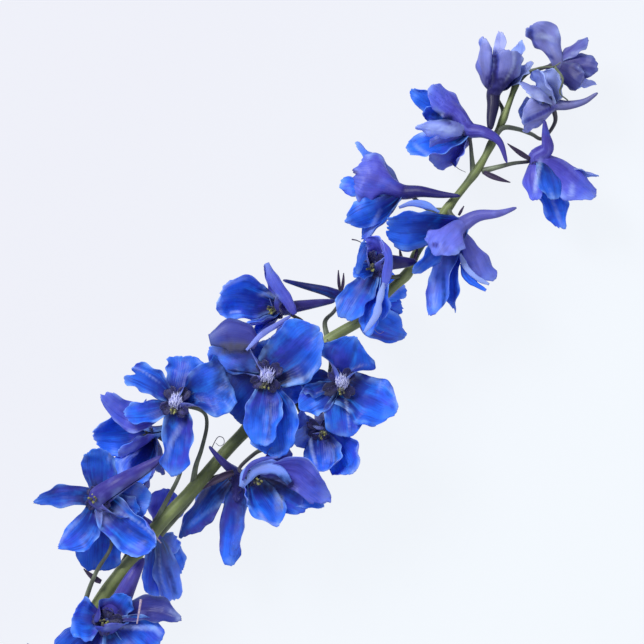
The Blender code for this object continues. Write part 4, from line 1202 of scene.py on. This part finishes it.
# Long pale hairs that lie side by side over a low dome, as the beard of an open floret does
def addTuft(shape, middle, faces, comb, size, rng):
    side = faces.cross(comb)
    addBead(shape, middle - faces * bee["tuftHigh"] * bee["domeSunk"], faces, bee["tuftHigh"] * size,
            bee["tuftWide"] * bee["domeWide"] * size, 0, (0, 0.3, 0), 14, 8)
    for k in range(bee["tuftHairs"]):
        turn, out = rng.uniform(0, 2 * math.pi), rng.uniform(0, 1) ** 0.6
        spot = side * math.cos(turn) + comb * math.sin(turn) * bee["tuftLong"]
        spot = spot * out * bee["tuftWide"] * size
        rise = faces * (bee["tuftHigh"] * size * (1 - out * out) - bee["tuftHairSunk"])
        heading = comb + side * rng.uniform(-0.25, 0.25) + faces * rng.uniform(0.0, 0.5)
        heading += spot * bee["tuftSplay"]
        foot = middle + spot + rise - heading * bee["tuftHairBack"]
        tip = foot + heading.normalized() * bee["tuftHairMm"] * size * rng.uniform(0.6, 1.1)
        shade = 0.75 if k % 5 == 0 else rng.uniform(0.0, 0.3)
        addHair(shape, foot, tip, bee["hairWide"] * 2.4, 2, (0, shade, 0))


def buildBee(name, floret):
    centre, faces = Vector(floret["centre"]), Vector(floret["faces"]).normalized()
    rng = random.Random("bee" + name)
    pale = floret["bee"] == "pale"
    up = Vector((*floret["beeWay"], 0)) if pale else Vector(floret["sepals"][0]["tip"]) - centre
    up = (up - faces * up.dot(faces)).normalized()
    right = faces.cross(up)
    shape = newShape("beePale", "beeDark", "beardHair", "antherSkin", "stalkSkin")
    size = bee["size"][floret["bee"]]
    base = centre + faces * bee["forward"]
    for turn in bee["lobeTurns"]:
        turn = math.radians(turn + rng.uniform(-14, 14))
        outward = up * math.cos(turn) + right * math.sin(turn)
        heading = (faces * bee["lobeForward"] + outward).normalized()
        way = (faces - heading * faces.dot(heading)).normalized()
        length = bee["lobeMm"] * size * rng.uniform(0.85, 1.1)
        width = bee["lobeWidth"] * size
        root = base + outward * bee["lobeFoot"] * size
        addLobe(shape, root, heading, way, length, width, (0, rng.uniform(0, 0.5), 0.0))
        addBeard(shape, root, heading, way, length, width, rng)
    if pale:
        middle = base + faces * bee["tuftForward"] + up * bee["tuftUp"]
        addTuft(shape, middle, faces, up, size, rng)
    for k in range(bee["stamens"]):
        turn = rng.uniform(0, 2 * math.pi)
        lean = (up * math.cos(turn) + right * math.sin(turn)) * rng.uniform(0.1, 0.55)
        lean -= up * bee["hang"][floret["bee"]]
        heading = (faces + lean).normalized()
        end = base + heading * bee["stamenMm"] * size * rng.uniform(0.75, 1.1)
        bowed = [base, base.lerp(end, 0.5) + lean * 0.4, end]
        addTube(shape, bowed, bee["stamenRadii"], 5, 4, (0, 0.45, 0))
        ripeness = 0.15 if rng.random() < 0.5 else 0.8
        addBead(shape, end, heading, bee["antherMm"], bee["antherWide"], 3, (0, ripeness, 0), 6, 4)
    finishPiece(shape, "bee_" + name, ["floret_" + name + "_eye"])


def buildSepals(name, floret):
    centre, faces = Vector(floret["centre"]), Vector(floret["faces"]).normalized()
    rng = random.Random("sepals" + name)
    shape = newShape("inner", "outer")
    addSepal(shape, centre, faces, floret["sepals"][0], rng, floret)
    for petal in floret["sepals"][1:]:
        addSepal(shape, centre, faces, petal, rng)
    addBead(shape, centre, faces, sepalForm["coreLong"], sepalForm["coreWide"], 1, (0, 0.7, 0), 12, 8)
    for mark in floret["marks"]:
        if "side" in mark:
            addTurnedEdge(shape, mark, rng)
        else:
            paintStreak(shape, mark, rng)
    finishPiece(shape, "sepals_" + name, ["floret_" + name + "_sepals"])


# Main stem: olive skin with long ribs, swollen where each stalk leaves it
stem = {
    "line": ((-117, -161, -21.1), (-107, -146, -16.5), (-96, -129, -9), (-82.3, -107.3, -4),
             (-72.2, -90.6, -2), (-64.2, -80.6, -1), (-55, -68.3, 0), (-42, -54.7, 0),
             (-31, -42, 0), (-15, -25.5, -1), (1, -7.3, -1), (14.7, 1.7, -1),
             (21.7, 9.7, -1), (28.7, 16.5, -1.5), (32, 24, -2), (41.7, 37.7, -3),
             (51.7, 50.7, -4), (57, 60.3, -5), (61, 69, -6), (65, 80, -7)),
    "baseRadius": 2.9, "tipRadius": 0.9, "swelling": 0.38, "swellingReach": 2.6,
    "sides": 28, "ribs": 0.02, "lineSteps": 10, "stalkLineSteps": 7,
    "stalkRadius": 0.6, "stalkFoot": 1.15, "stalkNeck": 0.35, "stalkSides": 12, "stalkRibs": 0.03,
    # where a stalk widens to its neck, and where it turns from green to its own darkness
    "neckAlong": (0.75, 1.0), "footDark": 0.1, "darkAlong": (0.2, 0.9),
}


def buildStem():
    shape = newShape("stemSkin")
    line = smoothLine(stem["line"], stem["lineSteps"])
    roots = [Vector(floret["stalk"][0]) for floret in florets.values()]
    radii = []
    for i, point in enumerate(line):
        radius = mix(stem["baseRadius"], stem["tipRadius"], i / (len(line) - 1))
        near = min((point - root).length for root in roots)
        radii.append(radius + stem["swelling"] * math.exp(-(near / stem["swellingReach"]) ** 2))
    addTube(shape, line, radii, stem["sides"], 0, (0, 0.1, 0), stem["ribs"])
    finishPiece(shape, "mainStem", ["stem"])


def buildStalk(name, floret):
    shape = newShape("stalkSkin")
    line = smoothLine([*floret["stalk"], floret["centre"]], stem["stalkLineSteps"])
    radii = []
    for i in range(len(line)):
        share = i / (len(line) - 1)
        foot = (stem["stalkFoot"] - stem["stalkRadius"]) * (1 - share) ** 3
        neck = stem["stalkNeck"] * smoothstep(*stem["neckAlong"], share)
        radii.append(stem["stalkRadius"] + foot + neck)

    def tintAt(share):
        return 0, mix(stem["footDark"], floret["stalkDark"], smoothstep(*stem["darkAlong"], share)), 0

    addTube(shape, line, radii, stem["stalkSides"], 0, tintAt, stem["stalkRibs"])
    finishPiece(shape, "stalk_" + name)


# Bracts and bracteoles: narrow pointed scales with a keel
bracts = [
    {"root": (54, 50, -3.5), "tip": (62.2, 45.4, -2), "width": 2.4, "hook": -0.14},
    {"root": (69.5, 54.4, -5.2), "tip": (61.5, 58.8, -5), "width": 2.2, "hook": 0.1},
    {"root": (6, 10.5, -4.3), "tip": (4.8, 17.2, -3.5), "width": 1.2, "hook": 0.1},
    {"root": (6.6, 10.5, -4), "tip": (7.9, 16.2, -3.5), "width": 1.2, "hook": -0.12},
    {"root": (-73.5, -86.5, 3.5), "tip": (-80, -83.6, 4), "width": 2.6, "hook": 0.22},
    {"root": (27, 19.5, 0), "tip": (25.2, 24.5, 1), "width": 1.4, "hook": 0.12},
    {"root": (30.5, 20, 0), "tip": (32.6, 25, 1), "width": 1.4, "hook": -0.15},
    {"root": (45.5, 35.5, 4), "tip": (47.2, 38.6, 5), "width": 1.0, "hook": 0.0},
    {"root": (-29.4, -50, 6), "tip": (-40.4, -53.4, 6), "width": 3.4, "hook": -0.2},
]
bractForm = {"rows": 12, "thick": 0.32, "fold": 62, "arch": 0.08, "least": 0.06, "foot": 0.55,
             "taper": 2.2}


def buildBract(number, bract):
    shape = newShape("bractSkin")
    root, tip = Vector(bract["root"]), Vector(bract["tip"])
    heading = (tip - root).normalized()
    length = (tip - root).length
    across = heading.cross(lensWay).normalized()
    way = across.cross(heading)
    grid = []
    for i in range(bractForm["rows"] + 1):
        s = i / bractForm["rows"]
        swell = math.sin(min(1.0, s * 2) * math.pi / 2)
        swell = bractForm["foot"] + (1 - bractForm["foot"]) * swell
        half = bract["width"] / 2 * swell * (1 - s ** bractForm["taper"])
        half = max(half, bractForm["least"])
        bow = way * math.sin(s * math.pi) * length * bractForm["arch"]
        bow = bow + across * s * s * length * bract["hook"]
        line = []
        for t in stripPlaces:
            x, y, arc = crossSection(t, math.radians(bractForm["fold"]), 0)
            spot = root + heading * length * s + bow + across * half * x + way * half * y
            line.append((spot, way * math.cos(arc) - across * math.sin(arc), s, t))
        grid.append(line)
    addSheet(shape, grid, lambda along, across: bractForm["thick"], (0, 0), (0, 0.15, 0))
    finishPiece(shape, f"bract_{number}")


# Dry threads, a tendril-like curl and two thin green loops, none of them 1 mm thick. Their skins
# are, in this order: stalkSkin, bractSkin and driedThread.
threads = [
    {"path": ((-37, -43, 6), (-36, -40.5, 7), (-34.5, -38.2, 7), (-32.8, -38.6, 7), (-32.6, -40.4, 7),
              (-34, -41.2, 7.2), (-35.3, -40.2, 7.6)), "radius": 0.16, "skin": 1},
    {"path": ((-60, -92, 14), (-60.6, -96, 15.5), (-61.3, -100, 16)), "radius": 0.45, "skin": 2},
    {"path": ((-56.5, -69, 5), (-55.2, -71.5, 6.5), (-53.5, -73.5, 7)), "radius": 0.35, "skin": 2},
    {"path": ((10, 27.5, 2), (11.5, 27.2, 3), (13, 26.5, 3)), "radius": 0.25, "skin": 1},
    {"path": ((43, 53.5, -3), (45.5, 51.2, -3), (48, 50, -4)), "radius": 0.14, "skin": 1},
    {"path": ((69, 83.5, 2.5), (73, 84.8, 3), (77, 85, 2), (79.5, 86.5, -2)), "radius": 0.4, "skin": 0},
    {"path": ((77.5, 85, 2), (80.2, 81, 2), (79.3, 76.5, 0), (82, 74, -3)), "radius": 0.45, "skin": 0},
    {"path": ((16.5, -1.5, -1), (19, -3.8, 0), (20.5, -3.2, 1)), "radius": 0.12, "skin": 2},
]


# A thread thins to half of its radius
def buildThread(number, thread):
    shape = newShape("stalkSkin", "bractSkin", "driedThread")
    line = smoothLine(thread["path"], 6)
    radii = [thread["radius"] * (1 - 0.5 * i / len(line)) for i in range(len(line))]
    addTube(shape, line, radii, 8, thread["skin"])
    finishPiece(shape, f"thread_{number}")


buildStem()
for number, thread in enumerate(threads):
    buildThread(number, thread)
for name, floret in florets.items():
    buildStalk(name, floret)
for number, bract in enumerate(bracts):
    buildBract(number, bract)
print("stem, stalks, bracts and threads:", 1 + len(florets) + len(bracts) + len(threads))
for name, floret in florets.items():
    buildSepals(name, floret)
    buildBee(name, floret)
print("florets:", len(florets))


# Studio: a pale card lit evenly, as on a light table, with soft lights all round
studio = {
    # the card's two colours pass into each other over cardFade metres to either side of its middle
    "card": ("#f5faff", "#eff0f8"), "cardFade": 0.12, "cardGlow": 0.94, "cardTone": "#303236",
    "cardSize": 6.0,
    "sky": "#eef2ff", "skyStrength": 0.55,
    "lights": {"keyLight": {"spot": (-520, 620, 760), "size": 0.45, "watts": 15.0},
               "fillLight": {"spot": (700, -500, 600), "size": 0.9, "watts": 4.0}},
}


def buildStudio():
    bpy.ops.mesh.primitive_plane_add(size=studio["cardSize"], location=(0, 0, 0))
    card = bpy.context.object
    card.name = "studioCard"
    material, tree = newMaterial("matteCard")
    where = addNode(tree, "TexCoord", {})
    parts = addNode(tree, "SeparateXYZ", {0: where["Object"]})
    glow = layColour(tree, *studio["card"], (parts[1], -studio["cardFade"], studio["cardFade"], 0.0, 1.0))
    paper = addNode(tree, "BsdfPrincipled",
                    {"Base Color": studio["cardTone"], "Emission Color": glow, "Roughness": 0.9,
                     "Specular IOR Level": 0.1, "Emission Strength": studio["cardGlow"]})
    addNode(tree, "OutputMaterial", {"Surface": paper[0]})
    card.data.materials.append(material)
    world = bpy.data.worlds.new("softSky")
    bpy.context.scene.world = world
    world.use_nodes = True
    sky = world.node_tree.nodes["Background"]
    sky.inputs[0].default_value = hexColour(studio["sky"])
    sky.inputs[1].default_value = studio["skyStrength"]
    for name, light in studio["lights"].items():
        lamp = bpy.data.lights.new(name, "AREA")
        lamp.shape = "DISK"
        lamp.size = light["size"]
        lamp.energy = light["watts"]
        holder = bpy.data.objects.new(name, lamp)
        bpy.context.scene.collection.objects.link(holder)
        holder.location = planeToFrame @ Vector(light["spot"])
        holder.rotation_euler = (-holder.location).to_track_quat("-Z", "Y").to_euler()
    bpy.context.scene.view_settings.view_transform = "Standard"


# The lens looks straight down on the spike and is rolled so that the stem leans up to the right
camera = {"distance": 2.5, "pictureWidth": 0.21467, "sensor": 36.0, "farthest": 20.0}


def buildCamera():
    lens = bpy.data.cameras.new("camera")
    lens.sensor_width = camera["sensor"]
    lens.lens = camera["sensor"] * camera["distance"] / camera["pictureWidth"]
    lens.clip_end = camera["farthest"]
    holder = bpy.data.objects.new("camera", lens)
    bpy.context.scene.collection.objects.link(holder)
    holder.location = planeToFrame @ Vector((0, 0, camera["distance"] / mm))
    holder.rotation_euler = (0, 0, math.radians(-layout["stemLean"]))
    bpy.context.scene.camera = holder


buildStudio()
buildCamera()
print("studio and camera")
